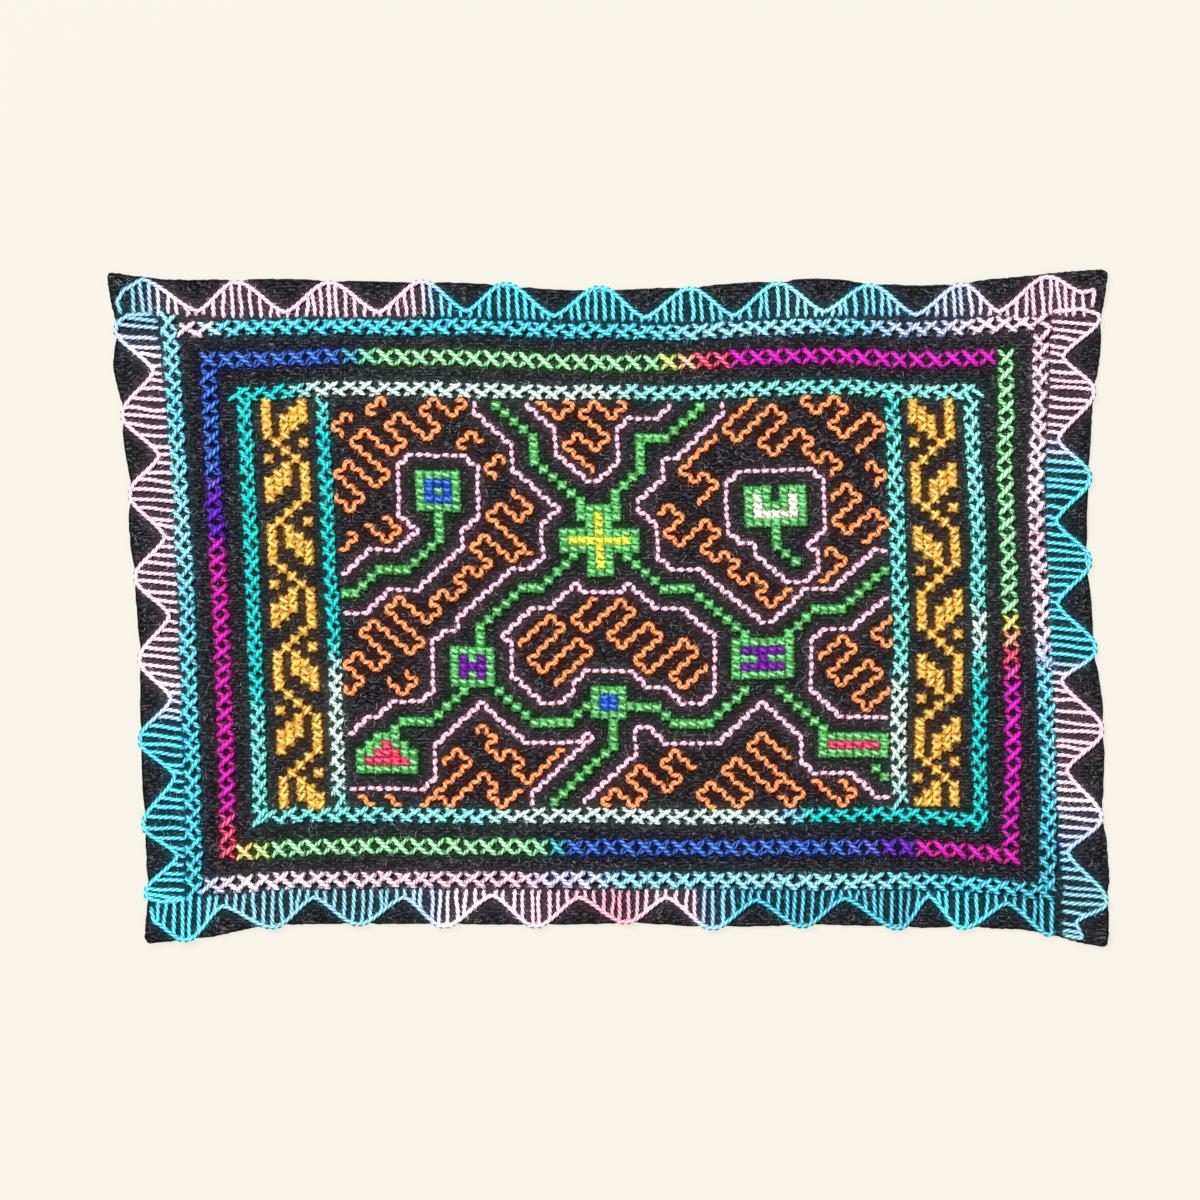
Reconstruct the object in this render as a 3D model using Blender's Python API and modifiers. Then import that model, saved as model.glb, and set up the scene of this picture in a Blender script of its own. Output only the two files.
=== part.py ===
# Altar cloth: one flat rectangular cloth with a folded edge, lying flat.
# Metres, +Z up. The origin is under the middle of the cloth, on the surface that it lies on.
# +X runs along the long sides and +Y towards the upper long side.
from math import cos, exp, hypot, pi

import bmesh
import bpy

MM = 0.001

# The rectangle that just holds the cloth, and the cloth's thickness with its stitching, in mm
LENGTH = 300.9
WIDTH = 203.7
THICKNESS = 2.2

# Cells of the grid along and across the cloth
CELLS_ALONG = 56
CELLS_ACROSS = 36

# Width of the bevel that rounds the folded edge, in mm
EDGE_ROUND = 0.55
EDGE_ROUND_ANGLE = 0.9

# How far each corner is tucked in on the diagonal, in mm
CORNER_TUCK = 0.7

# The scalloped stitching pulls the edge in at each peak, in mm
PULL = 1.1
PULL_REACH = 3.6

# The cloth stands up a little at its corners and between the scallops, in mm
CORNER_LIFT = 1.3
CORNER_REACH = 26.0
RIPPLE_LIFT = 0.5
RIPPLE_REACH = 11.0

# Each side is a table with the columns (along, inset) in mm: a place along the side,
# measured from the middle of the cloth, and how far the edge lies inside the rectangle there.
TOP_SIDE = (
    (-150, 0.4), (-131, 2.6), (-96, 2.6), (-68, 3.3), (-42, 3.8), (-16, 6.0), (12, 5.6),
    (38, 4.2), (65, 2.7), (92, 4.6), (118, 2.7), (136, 0.9), (150, 0.0),
)
BOTTOM_SIDE = (
    (-139, 1.6), (-122, 3.0), (-108, 5.8), (-96, 7.0), (-60, 7.2), (-20, 7.0), (10, 7.3),
    (30, 6.4), (66, 6.9), (92, 6.3), (122, 5.8), (134, 3.4), (142, 1.6), (150, 0.2),
)
LEFT_SIDE = (
    (-101, 12.0), (-84, 12.4), (-64, 11.5), (-38, 10.3), (-13, 10.0), (12, 8.1), (25, 6.8),
    (37, 7.2), (50, 5.2), (62, 4.4), (72, 2.3), (84, 2.8), (94, 1.2), (101, 0.4),
)
RIGHT_SIDE = (
    (-102, 0.0), (-86, -0.6), (-72, 0.4), (-59, 1.6), (-46, 1.2), (-30, 1.6), (-14, 3.8),
    (4, 5.2), (18, 6.2), (40, 5.6), (60, 4.6), (74, 2.7), (90, 1.5), (101, 0.2),
)

# Places of the scallop peaks along each side, in mm from the middle of the cloth
TOP_PEAKS = (-111, -83, -55, -30, -2, 25, 52, 79, 106)
BOTTOM_PEAKS = (-126, -100, -75, -49, -21, 6, 32, 59, 87, 107, 133)
LEFT_PEAKS = (-85, -64, -39, -14, 10, 34, 58, 83)
RIGHT_PEAKS = (-87, -62, -36, -12, 14, 40, 65, 86)

CLOTH_COLOUR = (0.017, 0.017, 0.02, 1.0)
CLOTH_ROUGHNESS = 0.92


def smooth_through(rows, place):
    """Height at a place on the smooth curve through a table of (place, height) rows."""
    last = len(rows) - 1
    first = next((k for k in range(last) if place <= rows[k + 1][0]), last - 1)

    def slope(k):
        low, high = rows[max(k - 1, 0)], rows[min(k + 1, last)]
        return (high[1] - low[1]) / (high[0] - low[0])

    (place_0, height_0), (place_1, height_1) = rows[first], rows[first + 1]
    step = place_1 - place_0
    t = (place - place_0) / step
    return (
        height_0 * (1 + 2 * t) * (1 - t) ** 2
        + height_1 * (3 - 2 * t) * t**2
        + slope(first) * step * t * (1 - t) ** 2
        - slope(first + 1) * step * (1 - t) * t**2
    )


def pull_in(peaks, place):
    """How far the scallops' peaks draw the edge in at a place along a side."""
    return sum(PULL * exp(-(((place - peak) / PULL_REACH) ** 2)) for peak in peaks)


def inset(rows, peaks, place):
    return smooth_through(rows, place) + pull_in(peaks, place)


def side_point(rows, peaks, fraction):
    """Place along a side and inset there, at a fraction of the way between its corners."""
    place = rows[0][0] + fraction * (rows[-1][0] - rows[0][0])
    return place, inset(rows, peaks, place)


def cloth_point(u, v):
    """Point of the cloth at fractions u along and v across it, blended from its four sides."""
    half_length = LENGTH / 2
    half_width = WIDTH / 2
    top_x, top_in = side_point(TOP_SIDE, TOP_PEAKS, u)
    bottom_x, bottom_in = side_point(BOTTOM_SIDE, BOTTOM_PEAKS, u)
    left_y, left_in = side_point(LEFT_SIDE, LEFT_PEAKS, v)
    right_y, right_in = side_point(RIGHT_SIDE, RIGHT_PEAKS, v)

    # Straight blend between facing sides, with the corners' share taken off once
    def corner_blend(bottom_left, bottom_right, top_left, top_right):
        bottom = bottom_left * (1 - u) + bottom_right * u
        top = top_left * (1 - u) + top_right * u
        return bottom * (1 - v) + top * v

    corner_x = corner_blend(
        BOTTOM_SIDE[0][0], BOTTOM_SIDE[-1][0], TOP_SIDE[0][0], TOP_SIDE[-1][0]
    )
    corner_y = corner_blend(
        LEFT_SIDE[0][0], RIGHT_SIDE[0][0], LEFT_SIDE[-1][0], RIGHT_SIDE[-1][0]
    )
    left_x = left_in - half_length
    right_x = half_length - right_in
    bottom_y = bottom_in - half_width
    top_y = half_width - top_in
    x = bottom_x * (1 - v) + top_x * v + left_x * (1 - u) + right_x * u - corner_x
    y = bottom_y * (1 - v) + top_y * v + left_y * (1 - u) + right_y * u - corner_y
    return x, y


def tuck_corner(x, y, u, v):
    """Draws the four corner points in on the diagonal, so that the corners are rounded."""
    if u in (0.0, 1.0) and v in (0.0, 1.0):
        x += CORNER_TUCK if u == 0.0 else -CORNER_TUCK
        y += CORNER_TUCK if v == 0.0 else -CORNER_TUCK
    return x, y


def fade(distance, reach):
    """1 at the edge, falling smoothly to exactly 0 at the given reach from it."""
    t = min(distance / reach, 1.0)
    return (1 - t) ** 2 * (1 + 2 * t)


def lift(x, y, u, v):
    """Height of the underside over the surface: 0 all over the middle of the cloth."""
    edges = (
        (u * LENGTH, y, LEFT_PEAKS),
        ((1 - u) * LENGTH, y, RIGHT_PEAKS),
        (v * WIDTH, x, BOTTOM_PEAKS),
        ((1 - v) * WIDTH, x, TOP_PEAKS),
    )
    height = 0.0
    for distance, place, peaks in edges:
        pitch = (peaks[-1] - peaks[0]) / (len(peaks) - 1)
        nearest = min(abs(place - peak) for peak in peaks)
        between_peaks = 0.5 - 0.5 * cos(pi * min(2 * nearest / pitch, 1.0))
        height += RIPPLE_LIFT * between_peaks * fade(distance, RIPPLE_REACH)
    to_corner = hypot(min(u, 1 - u) * LENGTH, min(v, 1 - v) * WIDTH)
    return height + CORNER_LIFT * fade(to_corner, CORNER_REACH)


def cloth_mesh():
    """The underside of the cloth as an open grid, mapped to its outline and its lifted edges."""
    bm = bmesh.new()
    bmesh.ops.create_grid(bm, x_segments=CELLS_ALONG, y_segments=CELLS_ACROSS, size=0.5)
    for vertex in bm.verts:
        u = min(max(round(vertex.co.x + 0.5, 6), 0.0), 1.0)
        v = min(max(round(vertex.co.y + 0.5, 6), 0.0), 1.0)
        x, y = cloth_point(u, v)
        x, y = tuck_corner(x, y, u, v)
        vertex.co = (x * MM, y * MM, lift(x, y, u, v) * MM)

    # The origin goes under the exact middle of the cloth's outline
    xs = [vertex.co.x for vertex in bm.verts]
    ys = [vertex.co.y for vertex in bm.verts]
    middle = ((min(xs) + max(xs)) / 2, (min(ys) + max(ys)) / 2, 0.0)
    bmesh.ops.translate(bm, verts=bm.verts, vec=[-value for value in middle])
    mesh = bpy.data.meshes.new("cloth")
    bm.to_mesh(mesh)
    bm.free()
    return mesh


def cloth_material():
    material = bpy.data.materials.new("black_woven_cloth")
    material.use_nodes = True
    shader = material.node_tree.nodes["Principled BSDF"]
    shader.inputs["Base Color"].default_value = CLOTH_COLOUR
    shader.inputs["Roughness"].default_value = CLOTH_ROUGHNESS
    shader.inputs["Metallic"].default_value = 0.0
    return material


def make_cloth(collection):
    """The cloth: its underside thickened upwards, with the folded edge rounded."""
    mesh = cloth_mesh()
    mesh.materials.append(cloth_material())
    cloth = bpy.data.objects.new("cloth", mesh)
    collection.objects.link(cloth)

    thickness = cloth.modifiers.new("thickness", "SOLIDIFY")
    thickness.thickness = THICKNESS * MM
    thickness.offset = 1.0

    rounding = cloth.modifiers.new("rounded_edge", "BEVEL")
    rounding.width = EDGE_ROUND * MM
    rounding.segments = 1
    rounding.limit_method = "ANGLE"
    rounding.angle_limit = EDGE_ROUND_ANGLE
    mesh.shade_smooth()
    return cloth


def clear_scene():
    for thing in list(bpy.data.objects):
        bpy.data.objects.remove(thing, do_unlink=True)


def main():
    clear_scene()
    collection = bpy.data.collections.new("altar_cloth")
    bpy.context.scene.collection.children.link(collection)
    make_cloth(collection)


main()
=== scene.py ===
import bpy
import numpy as np
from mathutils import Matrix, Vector


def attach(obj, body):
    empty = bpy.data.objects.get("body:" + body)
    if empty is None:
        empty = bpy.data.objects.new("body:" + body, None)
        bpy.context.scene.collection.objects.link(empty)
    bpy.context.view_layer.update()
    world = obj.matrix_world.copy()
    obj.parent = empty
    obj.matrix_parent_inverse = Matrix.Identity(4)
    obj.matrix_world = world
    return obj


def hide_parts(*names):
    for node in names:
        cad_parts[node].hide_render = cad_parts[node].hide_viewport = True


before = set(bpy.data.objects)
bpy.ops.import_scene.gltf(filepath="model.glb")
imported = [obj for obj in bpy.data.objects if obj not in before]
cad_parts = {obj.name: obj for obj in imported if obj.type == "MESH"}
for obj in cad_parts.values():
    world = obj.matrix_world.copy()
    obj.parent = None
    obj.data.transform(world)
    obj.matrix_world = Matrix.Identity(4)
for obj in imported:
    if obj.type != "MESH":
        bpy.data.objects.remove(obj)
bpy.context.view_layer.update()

MM = 0.001
SEED = 20
chance = np.random.default_rng(SEED)


# The cloth's own sizes, and where the middle of its outline lies in the tables. They are as in
# the CAD, but for a smaller pull of the scallops' threads on the edge.

OUTLINE_MIDDLE = (0.646, 0.291)
LENGTH = 300.9
WIDTH = 203.7
PULL = 0.6
PULL_REACH = 3.6
CORNER_LIFT = 1.3
CORNER_REACH = 26.0
RIPPLE_LIFT = 0.5
RIPPLE_REACH = 11.0

# Each side is a table with the columns (along, inset)
TOP_SIDE = (
    (-150, 0.4), (-131, 2.6), (-96, 2.6), (-68, 3.3), (-42, 3.8), (-16, 6.0), (12, 5.6),
    (38, 4.2), (65, 2.7), (92, 4.6), (118, 2.7), (136, 0.9), (150, 0.0),
)
BOTTOM_SIDE = (
    (-139, 1.6), (-122, 3.0), (-108, 5.8), (-96, 7.0), (-60, 7.2), (-20, 7.0), (10, 7.3),
    (30, 6.4), (66, 6.9), (92, 6.3), (122, 5.8), (134, 3.4), (142, 1.6), (150, 0.2),
)
LEFT_SIDE = (
    (-101, 12.0), (-84, 12.4), (-64, 11.5), (-38, 10.3), (-13, 10.0), (12, 8.1), (25, 6.8),
    (37, 7.2), (50, 5.2), (62, 4.4), (72, 2.3), (84, 2.8), (94, 1.2), (101, 0.4),
)
RIGHT_SIDE = (
    (-102, 0.0), (-86, -0.6), (-72, 0.4), (-59, 1.6), (-46, 1.2), (-30, 1.6), (-14, 3.8),
    (4, 5.2), (18, 6.2), (40, 5.6), (60, 4.6), (74, 2.7), (90, 1.5), (101, 0.2),
)
TOP_PEAKS = (-111, -83, -55, -30, -2, 25, 52, 79, 106)
BOTTOM_PEAKS = (-126, -100, -75, -49, -21, 6, 32, 59, 87, 107, 133)
LEFT_PEAKS = (-85, -64, -39, -14, 10, 34, 58, 83)
RIGHT_PEAKS = (-87, -62, -36, -12, 14, 40, 65, 86)

# The cloth's layers, from the surface that it lies on
HEM_WIDTH = 9.0
HEM_STEP = 0.45
CLOTH_THICKNESS = 1.3
EDGE_BULGE = 0.62
CELLS_ALONG = 240
CELLS_ACROSS = 160
EDGE_RINGS = 4
EDGE_CROWDING = 0.55
CORNER_RADIUS = 2.2
HEM_SLOPE = 0.8

# Soft waves all over it: the columns (height, length, offset, bend, length of the bend)
WAVE_ALONG = (0.10, 17.0, 1.0, 0.5, 23.0)
WAVE_ACROSS = (0.09, 13.0, 0.0, 0.6, 31.0)
WAVE_ASLANT = (0.07, 9.0, 0.0, 0.0, 1.0)
WAVE_CLEARANCE = 0.26


# Thread colours, in sRGB from 0 to 255

COLOURS = {
    "pink": (250, 200, 219),
    "white_pink": (252, 232, 243),
    "rose": (250, 150, 175),
    "lavender": (205, 205, 245),
    "periwinkle": (165, 195, 238),
    "pale_aqua": (138, 226, 242),
    "aqua": (82, 208, 232),
    "turquoise": (50, 205, 232),
    "sky": (120, 205, 240),
    "azure": (42, 172, 200),
    "steel": (115, 190, 213),
    "teal": (0, 196, 194),
    "soft_teal": (100, 224, 214),
    "light_teal": (128, 236, 228),
    "mint": (212, 240, 230),
    "green": (152, 238, 160),
    "sea_green": (40, 200, 170),
    "yellow": (225, 232, 60),
    # orange and deep_rose are used as painted shade at the ends of the meander's beads and of the
    # outline's stitches
    "orange": (225, 62, 14),
    "peach": (252, 190, 140),
    "apricot": (250, 150, 80),
    "deep_rose": (175, 60, 130),
    "red": (235, 50, 90),
    "magenta": (218, 0, 180),
    "fuchsia": (214, 0, 160),
    "purple": (72, 0, 180),
    "dark_purple": (100, 0, 145),
    "blue": (16, 78, 196),
    "gold": (249, 187, 74),
    "leaf": (92, 190, 100),
    "cream": (245, 245, 225),
}


def linear(colour):
    """A named colour as linear RGB."""
    value = np.array(COLOURS[colour], float) / 255
    return np.where(value <= 0.04045, value / 12.92, ((value + 0.055) / 1.055) ** 2.4)


def shades(stops, places):
    """Linear colours at places, from a table of (place, colour name) in rising order."""
    at = np.array([stop[0] for stop in stops], float)
    values = np.array([linear(stop[1]) for stop in stops])
    places = np.atleast_1d(places)
    return np.stack([np.interp(places, at, values[:, channel]) for channel in range(3)], axis=1)


# Curves through tables

def smooth_through(rows, places):
    """Heights at places on the smooth curve through a table of (place, height) rows."""
    at, height = np.array(rows, float).T
    slope = np.gradient(height, at)
    slope[1:-1] = (height[2:] - height[:-2]) / (at[2:] - at[:-2])
    places = np.clip(places, at[0], at[-1])
    k = np.clip(np.searchsorted(at, places, side="right") - 1, 0, len(at) - 2)
    step = at[k + 1] - at[k]
    t = (places - at[k]) / step
    return (
        height[k] * (1 + 2 * t) * (1 - t) ** 2
        + height[k + 1] * (3 - 2 * t) * t**2
        + slope[k] * step * t * (1 - t) ** 2
        - slope[k + 1] * step * (1 - t) * t**2
    )


def inset(rows, peaks, places):
    """How far a side's edge lies inside the cloth's rectangle."""
    places = np.asarray(places, float)
    pull = sum(PULL * np.exp(-(((places - peak) / PULL_REACH) ** 2)) for peak in peaks)
    return smooth_through(rows, places) + pull


def left_edge(y):
    return inset(LEFT_SIDE, LEFT_PEAKS, y) - LENGTH / 2


def right_edge(y):
    return LENGTH / 2 - inset(RIGHT_SIDE, RIGHT_PEAKS, y)


def bottom_edge(x):
    return inset(BOTTOM_SIDE, BOTTOM_PEAKS, x) - WIDTH / 2


def top_edge(x):
    return WIDTH / 2 - inset(TOP_SIDE, TOP_PEAKS, x)


# Height of the cloth

def eased(t):
    """From 0 to 1 as t does, starting and ending softly."""
    return 0.5 - 0.5 * np.cos(np.pi * t)


def fade(distance, reach):
    """1 at the edge, falling smoothly to 0 at the given reach from it."""
    t = np.clip(distance / reach, 0.0, 1.0)
    return (1 - t) ** 2 * (1 + 2 * t)


def wave(place, other, row):
    """One wave along a place, bent by the other place."""
    height, length, offset, bend, bend_length = row
    return height * np.sin(place / length + offset + bend * np.sin(other / bend_length))


def edge_distances(x, y):
    """For each side: the distance to it, the place along it, and where its peaks are."""
    return (
        (x - left_edge(y), y, LEFT_PEAKS),
        (right_edge(y) - x, y, RIGHT_PEAKS),
        (y - bottom_edge(x), x, BOTTOM_PEAKS),
        (top_edge(x) - y, x, TOP_PEAKS),
    )


def lift(x, y):
    """How far the cloth stands off the surface: at its corners, between scallops, in soft waves."""
    sides = edge_distances(x, y)
    height = 0.0
    for distance, place, peaks in sides:
        pitch = (peaks[-1] - peaks[0]) / (len(peaks) - 1)
        nearest = np.min([abs(place - peak) for peak in peaks], axis=0)
        between = eased(np.minimum(2 * nearest / pitch, 1.0))
        height = height + RIPPLE_LIFT * between * fade(distance, RIPPLE_REACH)
    to_corner = np.hypot(
        np.maximum(np.minimum(sides[0][0], sides[1][0]), 0),
        np.maximum(np.minimum(sides[2][0], sides[3][0]), 0),
    )
    waves = wave(x, y, WAVE_ALONG) + wave(y, x, WAVE_ACROSS) + wave(x + y, x, WAVE_ASLANT)
    return height + CORNER_LIFT * fade(to_corner, CORNER_REACH) + WAVE_CLEARANCE + waves


def edge_distance(x, y):
    return np.min([side[0] for side in edge_distances(x, y)], axis=0)


def underside(x, y):
    """Height of the underside: the hem turned under along the edge is one layer lower."""
    inner = np.clip((edge_distance(x, y) - HEM_WIDTH) / HEM_SLOPE, 0.0, 1.0)
    return lift(x, y) + HEM_STEP * inner * inner * (3 - 2 * inner)


# Heights of the cloth's top are worked out once, on a fine grid, and read between its points
MAP_STEP = 0.5
MAP_HALF_LENGTH = 156
MAP_HALF_WIDTH = 108
MAP_X = np.arange(-MAP_HALF_LENGTH, MAP_HALF_LENGTH + 0.1, MAP_STEP)
MAP_Y = np.arange(-MAP_HALF_WIDTH, MAP_HALF_WIDTH + 0.1, MAP_STEP)
MAP_HEIGHT = lift(*np.meshgrid(MAP_X, MAP_Y, indexing="ij")) + HEM_STEP + CLOTH_THICKNESS

# Reading stops this many points short of the grid's length, so that it always has a neighbour
MAP_LAST = 1.001


def read_map(values, x, y):
    """Values of a map on the grid above, read between its points."""
    column = np.clip((x - MAP_X[0]) / MAP_STEP, 0, len(MAP_X) - MAP_LAST)
    row = np.clip((y - MAP_Y[0]) / MAP_STEP, 0, len(MAP_Y) - MAP_LAST)
    i = np.asarray(column).astype(int)
    j = np.asarray(row).astype(int)
    u = column - i
    v = row - j
    low = values[i, j] * (1 - u) + values[i + 1, j] * u
    high = values[i, j + 1] * (1 - u) + values[i + 1, j + 1] * u
    return low * (1 - v) + high * v


def cloth_top(x, y):
    return read_map(MAP_HEIGHT, x, y)


# Meshes from arrays

def mesh_object(name, points, face_sets, colours=None, fibres=None):
    """A smooth mesh from points in mm and arrays of faces, with its colours at each point."""
    mesh = bpy.data.meshes.new(name)
    mesh.vertices.add(len(points))
    moved = (np.asarray(points) - (*OUTLINE_MIDDLE, 0.0)) * MM
    mesh.vertices.foreach_set("co", moved.astype(np.float32).ravel())
    sizes = np.concatenate([np.full(len(faces), faces.shape[1]) for faces in face_sets])
    corners = np.concatenate([faces.ravel() for faces in face_sets]).astype(np.int32)
    mesh.loops.add(len(corners))
    mesh.loops.foreach_set("vertex_index", corners)
    mesh.polygons.add(len(sizes))
    starts = np.concatenate([[0], np.cumsum(sizes)[:-1]]).astype(np.int32)
    mesh.polygons.foreach_set("loop_start", starts)
    if colours is not None:
        layer = mesh.color_attributes.new("thread", "FLOAT_COLOR", "POINT")
        rgba = np.ones((len(points), 4), np.float32)
        rgba[:, :3] = colours
        layer.data.foreach_set("color", rgba.ravel())
    if fibres is not None:
        layer = mesh.attributes.new("fibre", "FLOAT_VECTOR", "POINT")
        layer.data.foreach_set("vector", np.asarray(fibres, np.float32).ravel())
    mesh.update(calc_edges=True)
    mesh.validate()
    mesh.shade_smooth()
    thing = bpy.data.objects.new(name, mesh)
    bpy.context.scene.collection.objects.link(thing)
    return thing


PLIES = 3
TINY = 1e-6


class Thread:
    """Many strands of three-ply thread, gathered into one mesh. look names its material, ply is
    how deep its plies are cut, haze how much of its colour is painted onto the cloth beside it
    as reflected light, and hairy whether hairs stand out of it."""

    def __init__(self, name, look, ply=0.2, painted_bounce=1.0, hairy=True):
        self.name = name
        self.look = look
        self.painted_bounce = painted_bounce
        self.hairy = hairy
        self.angles = np.arange(2 * PLIES) * np.pi / PLIES
        self.outline = 1 + ply * np.cos(PLIES * self.angles)
        self.points = []
        self.colours = []
        self.fibres = []
        self.quads = []
        self.caps = []
        self.count = 0

    def strand(self, path, radius, colour, turn, taper=0.0, heading=None):
        """A strand along the rings' middles. turn is the length of one full twist of its plies."""
        path = np.asarray(path, float)
        rings = len(path)
        sides = len(self.angles)
        along = np.gradient(path, axis=0)
        steps = np.linalg.norm(np.diff(path, axis=0), axis=1)
        length = np.concatenate([[0.0], np.cumsum(steps)])
        tangent = along / np.linalg.norm(along, axis=1)[:, None]
        if heading is None:
            flat_way = tangent[:, :2] + TINY
        else:
            flat_way = np.broadcast_to(heading, (rings, 2))
        across = np.stack([flat_way[:, 1], -flat_way[:, 0], np.zeros(rings)], axis=1)
        across /= np.linalg.norm(across, axis=1)[:, None]
        up = np.cross(tangent, across)
        twist = -2 * np.pi * length / turn + chance.uniform(0, 2 * np.pi)
        angle = self.angles[None, :] + twist[:, None]
        share = np.linspace(-1, 1, rings)
        size = radius * (1 - taper * share**4)
        reach = size[:, None] * self.outline[None, :]
        points = (
            path[:, None, :]
            + across[:, None, :] * (reach * np.cos(angle))[..., None]
            + up[:, None, :] * (reach * np.sin(angle))[..., None]
        )
        colour = np.broadcast_to(colour, (rings, 3))
        self.points.append(points.reshape(-1, 3))
        self.colours.append(np.repeat(colour, sides, axis=0))
        start = chance.uniform(0, 1000)
        fibres = np.empty((rings, sides, 3))
        fibres[..., 0] = (length + start)[:, None]
        fibres[..., 1] = radius * np.cos(self.angles)
        fibres[..., 2] = radius * np.sin(self.angles)
        self.fibres.append(fibres.reshape(-1, 3))
        ring, side = np.meshgrid(np.arange(rings - 1), np.arange(sides), indexing="ij")
        corner = self.count + ring * sides + side
        beside = self.count + ring * sides + (side + 1) % sides
        quads = np.stack([corner, beside, beside + sides, corner + sides], axis=-1)
        self.quads.append(quads.reshape(-1, 4))
        first = self.count + np.arange(sides)
        self.caps.append(first[::-1])
        self.caps.append(first + (rings - 1) * sides)
        self.count += rings * sides

    def build(self):
        return mesh_object(
            self.name,
            np.concatenate(self.points),
            [np.concatenate(self.quads), np.array(self.caps)],
            np.concatenate(self.colours),
            np.concatenate(self.fibres),
        )


def all_points(threads):
    return np.concatenate([np.concatenate(thread.points) for thread in threads])


# Single stitches

BURIED = 0.55
RESTING = 0.8
CLIMB_START = 0.38
CLIMB_END = 0.58
# A cross's under stroke is darkened by this share: painted shade
UNDER_SHADE = 0.86
FULL_CROSS_RINGS = 7


def stitch(
    thread, start, end, radius, colour, turn, rings, climb=0.0, hump=0.0, bow=0.0, taper=0.25,
    reach=0.30,
):
    """One stitch lying on the cloth from start to end, with both ends going down into it.

    climb is its extra height over its second half, hump its extra height in the middle, bow how
    far it curves to the side, and reach the share of its length that each end takes to go down."""
    start = np.asarray(start, float)
    end = np.asarray(end, float)
    t = np.linspace(0, 1, rings)
    t = 0.5 * eased(t) + 0.5 * t
    way = end - start
    length = np.hypot(*way)
    side = np.array([-way[1], way[0]]) / length
    flat_path = start + way * t[:, None] + side * (bow * np.sin(np.pi * t))[:, None]
    dip = np.clip(np.minimum(t, 1 - t) / reach, 0, 1)
    dip = np.sqrt(1 - (1 - dip) ** 2)
    step = np.clip((t - CLIMB_START) / (CLIMB_END - CLIMB_START), 0, 1)
    height = -BURIED + (BURIED + radius * RESTING) * dip
    height = height + climb * step**2 * (3 - 2 * step) * dip + hump * np.sin(np.pi * t) ** 2
    z = cloth_top(flat_path[:, 0], flat_path[:, 1]) + height
    path = np.column_stack([flat_path, z])
    thread.strand(path, radius, colour, turn, taper, heading=way / length)


def cross(thread, corner_a, corner_b, radius, colour, turn, top_falls=True, raised=0.0):
    """A full cross in the box between two corners. The stroke on top falls to the right, or rises."""
    (left, bottom), (right, top) = corner_a, corner_b
    rising = ((left, bottom), (right, top))
    falling = ((left, top), (right, bottom))
    under, above = (rising, falling) if top_falls else (falling, rising)
    # Painted shade on the under stroke
    stitch(thread, *under, radius, colour * UNDER_SHADE, turn, FULL_CROSS_RINGS, hump=raised)
    stitch(thread, *above, radius, colour, turn, FULL_CROSS_RINGS, hump=radius + raised)


# Herringbone bands: tables with the columns (along, middle)

OUTER_TOP = (
    (-128, 83.6), (-115, 84.3), (-103, 84.5), (-82, 84.8), (-60, 84.5), (-38, 84.7), (-17, 83.7),
    (5, 83.4), (26, 83.2), (48, 84.6), (70, 84.8), (91, 84.0), (108, 84.6), (120, 85.4), (128, 85.8),
    (134, 86.5),
)
OUTER_BOTTOM = (
    (-123, -82.9), (-113, -82.5), (-100, -81.5), (-91, -81.1), (-70, -81.1), (-48, -81.0), (-5, -81.2),
    (38, -81.4), (60, -81.7), (82, -81.4), (103, -81.9), (118, -83.2), (133, -85.0),
)
OUTER_LEFT = (
    (-88, -123.4), (-66, -123.9), (-48, -124.1), (-30, -124.8), (-12, -125.4), (6, -126.0),
    (24, -127.2), (42, -128.2), (60, -129.4), (78, -130.6), (90, -131.8),
)
OUTER_RIGHT = (
    (-86, 132.0), (-66, 132.5), (-48, 132.4), (-30, 131.8), (-12, 131.0), (6, 130.0),
    (24, 128.9), (42, 128.9), (60, 129.8), (78, 130.2), (86, 130.4),
)
INNER_TOP = (
    (-112, 64.6), (-103, 64.8), (-82, 66.2), (-60, 66.1), (-38, 65.6), (-17, 65.1), (5, 65.1),
    (26, 64.9), (48, 66.2), (70, 66.7), (91, 65.3), (114, 65.2),
)
INNER_BOTTOM = (
    (-105, -62.4), (-91, -61.7), (-70, -61.5), (-48, -61.9), (-26, -62.1), (-5, -61.7),
    (17, -62.2), (38, -62.1), (60, -61.8), (82, -61.6), (103, -62.6), (114, -63.8),
)
INNER_LEFT = (
    (-66, -103.8), (-48, -104.2), (-30, -104.7), (-12, -105.4), (6, -106.0), (24, -106.7),
    (42, -107.7), (60, -108.6), (68, -109.0),
)
INNER_RIGHT = (
    (-68, 112.8), (-48, 111.7), (-30, 111.9), (-12, 111.8), (6, 111.4), (24, 111.5),
    (42, 110.3), (60, 109.2), (68, 109.2),
)
UPRIGHT_LEFT = (
    (-62, -80.0), (-48, -80.4), (-30, -81.0), (-12, -81.6), (6, -82.5), (24, -83.6),
    (42, -84.3), (60, -85.3), (66, -85.6),
)
UPRIGHT_RIGHT = (
    (-62, 88.6), (-48, 87.7), (-30, 87.7), (-12, 88.3), (6, 88.0), (24, 87.2), (42, 86.5),
    (52, 86.0), (60, 85.8), (66, 85.7),
)
CROSS_TOP = (
    (-121, 74.6), (-103, 75.0), (-82, 75.9), (-60, 75.7), (-38, 75.3), (-17, 74.4), (5, 73.8),
    (26, 74.4), (48, 75.6), (70, 75.9), (91, 74.8), (118, 75.6),
)
CROSS_BOTTOM = (
    (-115, -73.4), (-105, -72.6), (-91, -71.4), (-70, -71.0), (-48, -71.2), (17, -71.4),
    (60, -71.5), (82, -71.3), (103, -72.0), (122, -74.2),
)
CROSS_LEFT = (
    (-72, -113.6), (-48, -113.9), (-30, -114.6), (-12, -115.2), (6, -116.0), (24, -117.1),
    (42, -118.0), (60, -118.9), (76, -119.4),
)
CROSS_RIGHT = (
    (-76, 121.3), (-66, 121.2), (-48, 121.9), (-30, 121.9), (-12, 121.5), (6, 120.8),
    (24, 120.2), (42, 119.5), (60, 119.8), (76, 119.6),
)

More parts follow.
